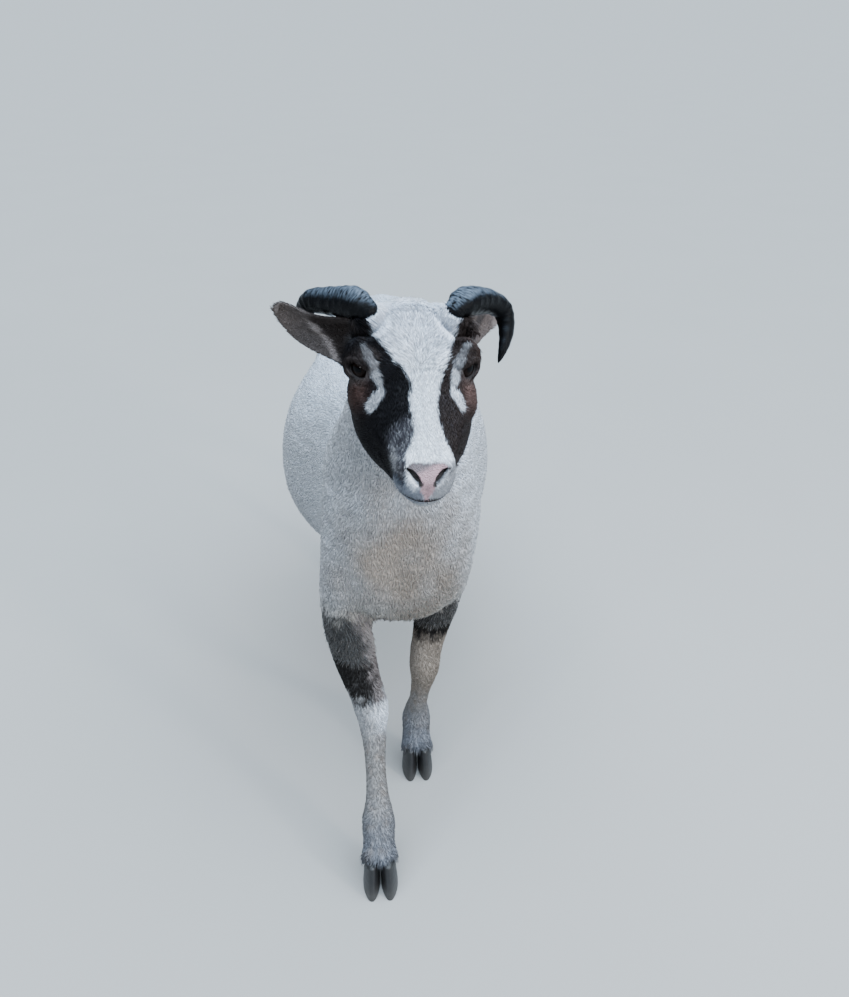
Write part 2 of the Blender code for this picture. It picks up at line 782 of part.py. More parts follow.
def island_at(source, name, near):
    """A new object from the closed surface of source that lies nearest to a section."""
    made = bmesh.new()
    made.from_mesh(source.data)
    goal = Vector((near.x, near.y, near.z))
    seed = min(made.verts, key=lambda v: (v.co - goal).length)
    island, front = {seed}, [seed]
    while front:
        for edge in front.pop().link_edges:
            for vertex in edge.verts:
                if vertex not in island:
                    island.add(vertex)
                    front.append(vertex)
    bmesh.ops.delete(made, geom=[v for v in made.verts if v not in island], context="VERTS")
    mesh = bpy.data.meshes.new(name)
    made.to_mesh(mesh)
    made.free()
    return link(name, mesh)


def material(name, colour, roughness):
    made = bpy.data.materials.new(name)
    made.use_nodes = True
    shader = made.node_tree.nodes["Principled BSDF"]
    shader.inputs["Base Color"].default_value = (*colour, 1)
    shader.inputs["Roughness"].default_value = roughness
    made.diffuse_color = (*colour, 1)
    return made


def dress(nodes):
    fleece = material("fleece", (0.74, 0.72, 0.69), 0.95)
    face = material("face_hair", (0.16, 0.12, 0.11), 0.85)
    brown = material("leg_hair", (0.22, 0.18, 0.16), 0.85)
    pale = material("pale_leg_hair", (0.60, 0.56, 0.52), 0.85)
    horny = material("horn", (0.03, 0.03, 0.035), 0.35)
    wet = material("eye", (0.02, 0.015, 0.012), 0.08)
    for node in nodes:
        name = node.name
        if "claw" in name or "horn" in name:
            finish = horny
        elif name.startswith("eye"):
            finish = wet
        elif name == "head" or name.startswith("ear"):
            finish = face
        elif name.endswith("_upper"):
            finish = brown
        elif name.endswith("_lower"):
            finish = pale
        else:
            finish = fleece
        node.data.materials.clear()
        node.data.materials.append(finish)
        for polygon in node.data.polygons:
            polygon.material_index = 0


def centre_on_origin(nodes):
    """Hangs every node from one empty that brings the ewe's box over the origin."""
    points = [node.matrix_world @ v.co for node in nodes for v in node.data.vertices]
    middle_x = (min(p.x for p in points) + max(p.x for p in points)) / 2
    middle_y = (min(p.y for p in points) + max(p.y for p in points)) / 2
    root = bpy.data.objects.new("ewe", None)
    bpy.context.scene.collection.objects.link(root)
    root.location = (-middle_x, -middle_y, 0)
    for node in nodes:
        node.parent = root
    print("the shoulder's y = 0 lies at", round(-middle_x, 5), round(-middle_y, 5))


def build():
    clear_scene()
    whole = fair(union("whole", [body_blend(), *head_forms()]), HEAD_VOXEL, 5)
    point, normal = THROAT_CUT[0], THROAT_CUT[1].normalized()
    head = copy_of(whole, "head")
    near = half_space("near", point - normal * JOIN_MARGIN, normal)
    thin(boolean(head, near, "INTERSECT"), HEAD_FACES)
    boolean(head, half_space("front", point + normal * GAP / 2, normal), "INTERSECT")
    far = half_space("far", point + normal * JOIN_MARGIN, -normal)
    thin(boolean(whole, far, "INTERSECT"), BODY_FACES)
    boolean(whole, half_space("rear", point - normal * GAP / 2, -normal), "INTERSECT")
    torso, _ = split(whole, *NECK_CUT, "torso", "neck")
    for side in (-1, 1):
        centre = eye_frame(side)[0]
        socket = (EYEBALL_RADIUS + GAP,) * 3
        boolean(head, eye_opening(side), "DIFFERENCE")
        head = union("head", [head, lid_rim(side)])
        boolean(head, ellipsoid("socket", centre, socket, None, 20, 12), "DIFFERENCE")
        boolean(head, nostril(side), "DIFFERENCE")
    boolean(head, mouth_line(head), "DIFFERENCE")
    grown = swollen(head)
    for side in (-1, 1):
        curl, leaf = horn(side), ear(side)
        boolean(leaf, swollen(curl), "DIFFERENCE")
        for piece in (curl, leaf):
            boolean(piece, copy_of(grown, "head_cutter"), "DIFFERENCE")
            largest_body(piece)
    for side in (-1, 1):
        ball = (EYEBALL_RADIUS,) * 3
        name = "eye_left" if side > 0 else "eye_right"
        ellipsoid(name, eye_frame(side)[0], ball, None, 18, 11)
    drop(grown)
    leg_nodes(torso)
    boolean(tail(), swollen(torso), "DIFFERENCE")
    nodes = [thing for thing in bpy.data.objects if thing.type == "MESH"]
    group = collection("shetland_ewe")
    for node in nodes:
        for owner in list(node.users_collection):
            owner.objects.unlink(node)
        group.objects.link(node)
        largest_body(node)
    dress(nodes)
    centre_on_origin(nodes)


build()
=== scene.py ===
"""The looks of a shorn Shetland ewe, life size, walking with her head raised.

Metres, +Z up. She faces -Y, and +X is her left side. The sizes of her body are given from the
shoulder: y = 0 lies above the elbow and z = 0 is the floor. The sizes of her head are given in
its own axes: v to her left, s forward to the nose and w up to the forehead.
"""

import logging
import math
from dataclasses import dataclass, field
from enum import Enum

import bmesh
import bpy
import numpy as np
from mathutils import Matrix, Vector


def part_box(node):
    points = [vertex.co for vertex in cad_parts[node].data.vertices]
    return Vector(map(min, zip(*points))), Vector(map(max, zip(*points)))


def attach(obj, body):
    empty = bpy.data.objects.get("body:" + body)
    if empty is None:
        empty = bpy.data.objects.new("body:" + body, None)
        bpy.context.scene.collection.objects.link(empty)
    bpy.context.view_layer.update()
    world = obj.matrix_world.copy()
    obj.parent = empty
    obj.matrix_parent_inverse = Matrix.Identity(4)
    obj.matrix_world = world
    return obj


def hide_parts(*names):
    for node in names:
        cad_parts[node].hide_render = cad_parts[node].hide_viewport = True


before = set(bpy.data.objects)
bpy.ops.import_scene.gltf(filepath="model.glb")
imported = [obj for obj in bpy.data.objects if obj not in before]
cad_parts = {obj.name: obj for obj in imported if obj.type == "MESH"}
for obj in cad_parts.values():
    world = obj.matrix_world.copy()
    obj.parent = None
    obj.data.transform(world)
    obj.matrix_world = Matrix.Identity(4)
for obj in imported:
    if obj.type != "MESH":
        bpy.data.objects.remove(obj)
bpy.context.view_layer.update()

LOG = logging.getLogger("ewe")
BODY = "root"
EYE_LINE = Vector((0.014, -0.158, 0.6775))  # middle of the head from the shoulder
EYE_SEAT = (0.0432, 0.000, 0.0138)
EYEBALL_RADIUS = 0.0135
SIDES = (-1, 1)
MIDDLE_Y = 0.24  # the fore legs are in front of it, the hind legs behind


class Slot(Enum):
    """The record's material slots."""

    WOOL = "shorn_wool"
    FACE = "face_hair"
    LEG = "leg_hair"
    HORN = "horn"
    HOOF = "hoof"
    EYE = "eye"


class Way(Enum):
    """What a Boolean does with its cutter."""

    CUT = "DIFFERENCE"
    JOIN = "UNION"
    KEEP = "INTERSECT"


# Shapes and arrays


def link(name: str, mesh: bpy.types.Mesh) -> bpy.types.Object:
    """Puts a mesh in the scene as an object of that name.

    Args:
        name: the object's name.
        mesh: its mesh.

    Returns:
        The object.
    """
    made = bpy.data.objects.new(name, mesh)
    bpy.context.scene.collection.objects.link(made)
    return made


def drop(*things: bpy.types.Object) -> None:
    """Removes objects from the scene."""
    for thing in things:
        bpy.data.objects.remove(thing)


def from_bmesh(name: str, made: bmesh.types.BMesh) -> bpy.types.Object:
    """Turns a bmesh into a named object and frees it.

    Args:
        name: the object's name.
        made: the bmesh.

    Returns:
        The object.
    """
    mesh = bpy.data.meshes.new(name)
    made.to_mesh(mesh)
    made.free()
    return link(name, mesh)


def points_of(thing: bpy.types.Object) -> np.ndarray:
    """The places of an object's vertices, one row each.

    Args:
        thing: the object.

    Returns:
        An array of three columns.
    """
    flat = np.empty(len(thing.data.vertices) * 3, np.float32)
    thing.data.vertices.foreach_get("co", flat)
    return flat.reshape(-1, 3).astype(float)


def set_points(thing: bpy.types.Object, points: np.ndarray) -> None:
    """Moves an object's vertices to these places."""
    thing.data.vertices.foreach_set("co", points.astype(np.float32).ravel())
    thing.data.update()


def normals_of(thing: bpy.types.Object) -> np.ndarray:
    """The outward directions at an object's vertices.

    Args:
        thing: the object.

    Returns:
        Rows of length 1.
    """
    flat = np.empty(len(thing.data.vertices) * 3, np.float32)
    thing.data.vertex_normals.foreach_get("vector", flat)
    return flat.reshape(-1, 3).astype(float)


def edges_of(thing: bpy.types.Object) -> np.ndarray:
    """The two ends of each edge.

    Args:
        thing: the object.

    Returns:
        The numbers of two vertices in each row.
    """
    flat = np.empty(len(thing.data.edges) * 2, np.int32)
    thing.data.edges.foreach_get("vertices", flat)
    return flat.reshape(-1, 2)


def neighbour_mean(values: np.ndarray, edges: np.ndarray) -> np.ndarray:
    """The mean of each vertex's neighbours.

    Args:
        values: one row of numbers for each vertex.
        edges: the two ends of each edge.

    Returns:
        One row for each vertex.
    """
    first, second = edges.T
    count = np.bincount(first, minlength=len(values)) + np.bincount(second, minlength=len(values))
    total = np.empty_like(values)
    for column in range(values.shape[1]):
        line = values[:, column]
        total[:, column] = np.bincount(first, line[second], len(values))
        total[:, column] += np.bincount(second, line[first], len(values))
    return total / np.maximum(count, 1)[:, None]


def relax(thing: bpy.types.Object, pairs: int, share: np.ndarray | float = 1.0) -> None:
    """Smooths a surface without shrinking it.

    Args:
        thing: the object to smooth.
        pairs: how many times it is drawn in and let out again.
        share: 1 where it is smoothed in full, 0 where it stays, one value or one a vertex.
    """
    points, edges = points_of(thing), edges_of(thing)
    weight = np.broadcast_to(np.asarray(share, float), len(points))[:, None]
    for _ in range(pairs):
        for step in (0.5, -0.53):
            points += weight * step * (neighbour_mean(points, edges) - points)
    set_points(thing, points)


def ramp(values: np.ndarray, low: float, high: float) -> np.ndarray:
    """0 under low, 1 over high, and a soft step between them."""
    share = np.clip((values - low) / (high - low), 0, 1)
    return share * share * (3 - 2 * share)


def circle(count: int) -> list:
    """So many angles, evenly round a circle."""
    return [2 * math.pi * step / count for step in range(count)]


def unit(rows: np.ndarray) -> np.ndarray:
    """Rows scaled to a length of 1."""
    return rows / np.maximum(np.linalg.norm(rows, axis=1), 1e-9)[:, None]


def ripple(points: np.ndarray, size: float, seed: int) -> np.ndarray:
    """A soft random field, about -1 to 1, that changes over a distance of size.

    Args:
        points: rows of places in the ewe's axes.
        size: the length of its waves in metres.
        seed: the number that sets it.

    Returns:
        One number for each place.
    """
    rng = np.random.default_rng(seed)
    waves = rng.normal(size=(3, 20))
    waves *= rng.uniform(0.6, 1.5, 20) * 2 * math.pi / size / np.linalg.norm(waves, axis=0)
    return np.sin(points @ waves + rng.uniform(0, 6.3, 20)).sum(axis=1) / 4.5


def blob(points: np.ndarray, seat: tuple, radii: tuple) -> np.ndarray:
    """1 at the seat, fading to 0 over about the radii."""
    gap = (points - np.array(seat)) / np.array(radii)
    return np.exp(-(gap * gap).sum(axis=1))


def mixed(under: tuple | np.ndarray, over: tuple | np.ndarray, share: np.ndarray) -> np.ndarray:
    """Colours with others laid over them by share, either of them one colour or rows."""
    under = np.asarray(under, float)
    return under + (np.asarray(over, float) - under) * share[:, None]


def smooth_rows(rows: tuple | list, steps: int) -> np.ndarray:
    """Rows of numbers with steps - 1 more rows between each two, on a smooth curve.

    Args:
        rows: the rows that the curve passes through.
        steps: the number of steps from one row to the next.

    Returns:
        The rows as an array.
    """
    known = np.array([rows[0], *rows, rows[-1]], float)
    made = []
    for a, b, c, d in zip(known, known[1:], known[2:], known[3:]):
        for step in range(steps):
            t = step / steps
            bend = (2 * a - 5 * b + 4 * c - d) * t * t + (3 * b - a - 3 * c + d) * t**3
            made.append(0.5 * (2 * b + (c - a) * t + bend))
    return np.array([*made, known[-1]])


def loft(name: str, rings: list, endless: bool = False) -> bpy.types.Object:
    """A closed body through rings of points.

    Args:
        name: the object's name.
        rings: lists of points, all of one length.
        endless: whether the last ring joins the first, instead of both being filled.

    Returns:
        The object.
    """
    made = bmesh.new()
    rows = [[made.verts.new(point) for point in ring] for ring in rings]
    for first, second in zip(rows, rows[1:] + rows[:1] * endless):
        for here in range(len(first)):
            after = (here + 1) % len(first)
            made.faces.new((first[here], first[after], second[after], second[here]))
    if not endless:
        made.faces.new(list(reversed(rows[0])))
        made.faces.new(rows[-1])
    bmesh.ops.triangulate(made, faces=[face for face in made.faces if len(face.verts) > 4])
    bmesh.ops.recalc_face_normals(made, faces=made.faces)
    return from_bmesh(name, made)


def ellipsoid(centre: Vector, radii: tuple, turn: Matrix, fineness: int = 32) -> bpy.types.Object:
    """A rounded body of these half sizes along the axes of turn.

    Args:
        centre: its middle.
        radii: its three half sizes.
        turn: its axes.
        fineness: the number of faces round it.

    Returns:
        The object.
    """
    made = bmesh.new()
    bmesh.ops.create_uvsphere(made, u_segments=fineness, v_segments=fineness * 3 // 4, radius=1)
    made.transform(Matrix.Diagonal((*radii, 1)))
    made.transform(turn.to_4x4())
    made.transform(Matrix.Translation(centre))
    return from_bmesh("form", made)


def half_space(point: Vector, normal: Vector) -> bpy.types.Object:
    """A box whose face lies on the plane through point, on the side that normal points to.

    Args:
        point: a point of the plane.
        normal: the side that is filled.

    Returns:
        The object.
    """
    made = bmesh.new()
    bmesh.ops.create_cube(made, size=1.6)
    made.transform(Matrix.Translation((0, 0, 0.8)))
    made.transform(normal.to_track_quat("Z", "Y").to_matrix().to_4x4())
    made.transform(Matrix.Translation(point))
    return from_bmesh("half_space", made)


def applied(thing: bpy.types.Object) -> bpy.types.Object:
    """Replaces the object's mesh with the mesh that its modifiers give.

    Args:
        thing: the object.

    Returns:
        The same object.
    """
    graph = bpy.context.evaluated_depsgraph_get()
    mesh = bpy.data.meshes.new_from_object(thing.evaluated_get(graph))
    thing.modifiers.clear()
    thing.data = mesh
    return thing


def boolean(target: bpy.types.Object, cutter: bpy.types.Object, way: Way) -> bpy.types.Object:
    """Applies one Boolean with the cutter, which is then removed.

    Args:
        target: the object that changes.
        cutter: the other object.
        way: whether the cutter is cut away, joined on or bounds what is kept.

    Returns:
        The target. MANIFOLD is used because EXACT takes minutes on meshes this fine.
    """
    modifier = target.modifiers.new("Boolean", "BOOLEAN")
    modifier.operation = way.value
    modifier.solver = "MANIFOLD"
    modifier.object = cutter
    applied(target)
    drop(cutter)
    return target


def remeshed(thing: bpy.types.Object, voxel: float, rounds: int) -> bpy.types.Object:
    """Makes an even surface of that fineness, smoothed so many times.

    Args:
        thing: the object.
        voxel: the size of its faces.
        rounds: how many times it is smoothed.

    Returns:
        The same object.
    """
    remesh = thing.modifiers.new("Remesh", "REMESH")
    remesh.mode = "VOXEL"
    remesh.voxel_size = voxel
    smooth = thing.modifiers.new("Smooth", "SMOOTH")
    smooth.factor = 0.5
    smooth.iterations = rounds
    return applied(thing)


def joined(name: str, pieces: list) -> bpy.types.Object:
    """One object that holds the meshes of all the pieces, which are removed.

    Args:
        name: the object's name.
        pieces: the objects that are joined.

    Returns:
        The object.
    """
    made = bmesh.new()
    for piece in pieces:
        made.from_mesh(piece.data)
    drop(*pieces)
    return from_bmesh(name, made)


def write_attribute(thing: bpy.types.Object, name: str, values: np.ndarray) -> None:
    """Stores numbers, vectors or colours on an object's vertices.

    Args:
        thing: the object.
        name: the attribute's name.
        values: one number or row for each vertex.
    """
    kind, key = ("FLOAT", "value") if values.ndim == 1 else ("FLOAT_VECTOR", "vector")
    made = thing.data.attributes.new(name, kind, "POINT")
    made.data.foreach_set(key, values.astype(np.float32).ravel())


def shade_smooth(thing: bpy.types.Object) -> None:
    """Shades all faces as one smooth surface."""
    thing.data.polygons.foreach_set("use_smooth", np.ones(len(thing.data.polygons), bool))


# The axes of the head


@dataclass(frozen=True)
class HeadFrame:
    """The head's own axes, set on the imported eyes."""

    drop: float = math.radians(14)
    yaw: float = math.radians(3)
    roll: float = math.radians(3)

    def turn(self) -> Matrix:
        """The rotation from the head's axes to the ewe's."""
        tilt = Matrix.Rotation(self.yaw, 3, "Z") @ Matrix.Rotation(self.drop, 3, "X")
        return tilt @ Matrix.Rotation(self.roll, 3, "Y")

    def centre(self) -> Vector:
        """The middle of the head, from the two packed eyes.

        Returns:
            The point in the ewe's axes.
        """
        corners = [*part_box("eye_left"), *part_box("eye_right")]
        middle = sum(corners, Vector()) / 4
        return middle - self.turn() @ Vector((0, -EYE_SEAT[1], EYE_SEAT[2]))

    def shoulder(self) -> Vector:
        """The point that the body's sizes are measured from."""
        return self.centre() - EYE_LINE

    def place(self, v: float, s: float, w: float) -> Vector:
        """A point of the head in the ewe's axes."""
        return self.centre() + self.turn() @ Vector((v, -s, w))

    def read(self, points: np.ndarray) -> np.ndarray:
        """Rows of places in the ewe's axes, as rows of v, s and w."""
        rows = (points - np.array(self.centre())) @ np.array(self.turn())
        return rows * (1, -1, 1)

    def aim(self, rows: np.ndarray) -> np.ndarray:
        """Rows of directions along v, s and w, as directions in the ewe's axes."""
        return (rows * (1, -1, 1)) @ np.array(self.turn()).T


HEAD = HeadFrame()
SHOULDER = HEAD.shoulder()


def eye_axes(side: int) -> tuple:
    """Centre of an eyeball, the way its lids open, and the axes along and across the lids.

    Args:
        side: -1 for her right, 1 for her left.

    Returns:
        A point and three directions of length 1.
    """
    v, s, w = EYE_SEAT
    turn = HEAD.turn()
    looks = (turn @ Vector((side * 0.72, -0.64, 0.26))).normalized()
    along = turn @ Vector((side * 0.60, 0.75, 0.20))
    along = (along - looks * along.dot(looks)).normalized()
    up = along.cross(looks).normalized()
    if up.z < 0:
        up.negate()
    return HEAD.place(side * v, s, w), looks, along, up


def eye_gap(seats: np.ndarray) -> np.ndarray:
    """How far each place, given in the head's axes, is from the nearer eye."""
    middles = [np.array(EYE_SEAT) * (side, 1, 1) for side in SIDES]
    return np.min([np.linalg.norm(seats - middle, axis=1) for middle in middles], axis=0)


def pushed(start: np.ndarray, rows: np.ndarray, touches: tuple) -> np.ndarray:
    """How far each place moves outwards, with soft pushes added on both sides.

    Args:
        start: how far each place moves without them.
        rows: the places, in axes whose first is across.
        touches: seat, radii and push of each.

    Returns:
        One number for each place.
    """
    move = start.copy()
    mirrored = rows * (-1, 1, 1)
    for seat, radii, out in touches:
        move += out * np.maximum(blob(rows, seat, radii), blob(mirrored, seat, radii))
    return move


# Ears and horns, whose places the skin has to know


@dataclass
class Ear:
    """One ear: a cupped leaf with rolled edges, thin at the rim."""

    side: int
    length: float = 0.082
    tip_width: float = 0.034
    flare: float = 0.054
    wraps: tuple = (62, 150)
    pleat: float = 0.0016
    wall: float = 0.0024
    rows: int = 34
    columns: int = 26
    sag: dict = field(default_factory=lambda: {1: 0.03, -1: 0.10})
    points: np.ndarray = field(default_factory=lambda: np.empty((0, 3)))
    places: np.ndarray = field(default_factory=lambda: np.empty((0, 3)))

    def axes(self) -> tuple:
        """The root of the ear and its axes: along it, the way its cup faces, and across it.

        Returns:
            A point and three directions of length 1.
        """
        turn = HEAD.turn()
        if self.side < 0:
            root = HEAD.place(-0.0545, -0.046, 0.0145)
            reach = turn @ Vector((-0.0735, 0.0200, 0.0195))
            faces = turn @ Vector((-0.30, -0.93, 0.05))
        else:
            root = HEAD.place(0.0545, -0.046, 0.0075)
            reach = turn @ Vector((0.0470, 0.0570, -0.0120))
            faces = turn @ Vector((0.75, -0.60, 0.10))
        along = reach.normalized()
        faces = (faces - along * faces.dot(along)).normalized()
        return root, along, faces, along.cross(faces)

    def sheet(self) -> np.ndarray:
        """The middle of the ear's wall as a grid of points.

        Returns:
            Points by row along the ear and by column across it.
        """
        root, along, faces, across = (np.array(part) for part in self.axes())
        grid = np.empty((self.rows + 1, self.columns + 1, 3))
        for row in range(self.rows + 1):
            t = row / self.rows
            width = (self.tip_width + self.flare * (1 - t) ** 2.4) * (1 - t**6) ** 0.5 + 0.002
            wrap = math.radians(self.wraps[1] * (1 - t) ** 2 + self.wraps[0])
            radius = width / wrap
            middle = root + along * self.length * 1.10 * (t - 0.14)
            middle = middle + np.array((0, 0, self.sag[self.side] * t * t * (t - 1)))
            for column in range(self.columns + 1):
                q = -1 + 2 * column / self.columns
                turn = q * wrap / 2
                rise = radius * (1 - math.cos(turn)) - radius * 0.6
                fold = self.pleat * math.sin(9 * q + 2 * t) * math.sin(math.pi * min(1, t * 1.2))
                grid[row, column] = middle + across * radius * math.sin(turn)
                grid[row, column] += faces * (rise + fold * (1 - abs(q)))
        return grid

    def build(self) -> bpy.types.Object:
        """Makes the closed shell of the ear and notes where each of its points lies on it.

        Returns:
            The object.
        """
        grid = self.sheet()
        down = np.gradient(grid, axis=0)
        over = np.gradient(grid, axis=1)
        out = np.cross(down, over).reshape(-1, 3)
        out = unit(out).reshape(grid.shape)
        if np.dot(out[self.rows // 2, self.columns // 2], np.array(self.axes()[2])) < 0:
            out = -out
        t = np.linspace(0, 1, self.rows + 1)[:, None, None]
        q = np.linspace(-1, 1, self.columns + 1)[None, :, None]
        half = self.wall / 2 * (1.35 - 0.6 * np.abs(q) ** 4) * (1.3 - 0.6 * t)
        front, back = grid + out * half, grid - out * half
        made = bmesh.new()
        sheets = [
            [[made.verts.new(point) for point in row] for row in sheet] for sheet in (front, back)
        ]
        for number, sheet in enumerate(sheets):
            for first, second in zip(sheet, sheet[1:]):
                for here in range(self.columns):
                    corners = (first[here], first[here + 1], second[here + 1], second[here])
                    made.faces.new(corners if number else corners[::-1])
        border = [(0, c) for c in range(self.columns)]
        border += [(r, self.columns) for r in range(self.rows)]
        border += [(self.rows, c) for c in range(self.columns, 0, -1)]
        border += [(r, 0) for r in range(self.rows, 0, -1)]
        for here, after in zip(border, border[1:] + border[:1]):
            near = [sheet[here[0]][here[1]] for sheet in sheets]
            far = [sheet[after[0]][after[1]] for sheet in sheets]
            made.faces.new((near[0], far[0], far[1], near[1]))
        bmesh.ops.recalc_face_normals(made, faces=made.faces)
        rows = np.broadcast_to(t[..., 0], grid.shape[:2]).ravel()
        columns = np.broadcast_to(q[..., 0], grid.shape[:2]).ravel()
        inside = np.ones(len(rows))
        self.points = np.concatenate([front.reshape(-1, 3), back.reshape(-1, 3)])
        self.places = np.stack(
            [np.tile(rows, 2), np.tile(columns, 2), np.concatenate([inside, -inside])], axis=1
        )
        return from_bmesh("ear", made)

    def nearest(self, points: np.ndarray) -> tuple:
        """How far each place is from the ear, and where on the ear it lies.

        Args:
            points: rows of places in the ewe's axes.

        Returns:
            The distances, and rows of the share along, the share across and front or back.
        """
        away = np.full(len(points), 1.0)
        spot = np.zeros((len(points), 3))
        low, high = self.points.min(axis=0) - 0.004, self.points.max(axis=0) + 0.004
        near = np.flatnonzero(((points > low) & (points < high)).all(axis=1))
        for part in np.array_split(near, max(1, len(near) // 1500)):
            gaps = np.linalg.norm(points[part][:, None] - self.points[None], axis=2)
            best = gaps.argmin(axis=1)
            away[part] = gaps[np.arange(len(part)), best]
            spot[part] = self.places[best]
        return away, spot


@dataclass
class Horn:
    """One horn: back and out from the poll, then down and forward, ringed and tapering."""

    side: int
    width: float = 0.032
    depth: dict = field(default_factory=lambda: {1: 0.030, -1: 0.034})
    growth_rings: int = 15
    ridge: float = 0.00055
    steps: int = 12
    around: int = 40
    paths: dict = field(
        default_factory=lambda: {
            1: (
                (0.0365, -0.038, 0.0345),
                (0.0450, -0.044, 0.0458),
                (0.0550, -0.054, 0.0500),
                (0.0695, -0.067, 0.0440),
                (0.0847, -0.078, 0.0355),
                (0.0985, -0.082, 0.0245),
                (0.1025, -0.074, 0.0140),
                (0.1010, -0.062, 0.0050),
                (0.0965, -0.050, -0.0040),
                (0.0925, -0.043, -0.0125),
            ),
            -1: (
                (0.0365, -0.038, 0.0335),
                (0.0440, -0.043, 0.0448),
                (0.0520, -0.052, 0.0480),
                (0.0640, -0.065, 0.0415),
                (0.0785, -0.079, 0.0340),
                (0.0900, -0.088, 0.0285),
                (0.0965, -0.091, 0.0190),
                (0.0970, -0.090, 0.0080),
                (0.0935, -0.087, -0.0010),
                (0.0880, -0.084, -0.0090),
            ),
        }
    )

    def middles(self) -> np.ndarray:
        """Points down the middle of the horn.

        Returns:
            Rows of places in the ewe's axes.
        """
        rows = smooth_rows(self.paths[self.side], self.steps)
        share = np.linspace(0, 1, len(rows))
        lift = 0.20 * self.depth[self.side] * (1 - ramp(share, 0.02, 0.24))
        return np.array([HEAD.place(self.side * v, s, w + up) for (v, s, w), up in zip(rows, lift)])

    def taper(self, share: np.ndarray) -> np.ndarray:
        """Slimmer where the hair closes round the foot, and down to the tip."""
        return (0.60 + 0.40 * ramp(share, 0.02, 0.24)) * np.maximum((1 - share**1.6) ** 0.75, 0.05)

    def build(self) -> bpy.types.Object:
        """Makes the horn with its growth rings, finer and closer towards the base.

        Returns:
            The object, with the attributes that its finish reads.
        """
        middles = self.middles()
        last = len(middles) - 1
        keel_way = np.array(HEAD.turn() @ Vector((self.side * 0.5, 0.2, 0.85)))
        angles = np.linspace(0, 2 * math.pi, self.around, endpoint=False)
        tapers = self.taper(np.linspace(0, 1, last + 1))
        rings, shares = [], []
        for index, middle in enumerate(middles):
            share, taper = index / last, tapers[index]
            along = middles[min(index + 1, last)] - middles[max(index - 1, 0)]
            along /= np.linalg.norm(along)
            keel = keel_way - along * np.dot(keel_way, along)
            keel /= np.linalg.norm(keel)
            across = np.cross(along, keel)
            wave = math.sin(2 * math.pi * (share * self.growth_rings + 0.25 * math.sin(share * 21)))
            ridge = self.ridge * (1 - share) ** 0.7 * (wave if wave > -0.4 else -0.4)
            ring = []
            for angle in angles:
                flat = 1 - 0.07 * math.cos(3 * angle + 0.6) * (1 - share)
                wide = self.width / 2 * taper * flat + ridge * (1 + 0.3 * math.sin(5 * angle))
                deep = self.depth[self.side] / 2 * taper * flat + ridge
                place = middle + across * wide * math.cos(angle) + keel * deep * math.sin(angle)
                ring.append(Vector(place))
            rings.append(ring)
            shares += [share] * self.around
        horn = loft("horn_left_sheath" if self.side > 0 else "horn_right_sheath", rings)
        turns = np.tile(angles / (2 * math.pi), len(middles))
        write_attribute(horn, "growth", np.array(shares))
        write_attribute(horn, "round", np.abs(turns * 2 - 1))
        # How far each face looks up; the finish paints wear and a sky reflection there
        write_attribute(horn, "weathered", ramp(normals_of(horn)[:, 2], 0.45, 0.95))
        shade_smooth(horn)
        return horn

    def covers(self, points: np.ndarray) -> np.ndarray:
        """1 where a place lies inside the horn or just at its foot, else 0.

        Args:
            points: rows of places in the ewe's axes.

        Returns:
            One number for each place.
        """
        middles = self.middles()
        share = np.linspace(0, 1, len(middles))
        reach = 0.40 * self.width * self.taper(share) * ramp(share, 0.02, 0.14)
        found = np.zeros(len(points))
        near = np.flatnonzero(np.linalg.norm(points - middles[8], axis=1) < 0.08)
        gaps = np.linalg.norm(points[near][:, None] - middles[None], axis=2)
        found[near] = (gaps < reach).any(axis=1)
        return found


# The skin


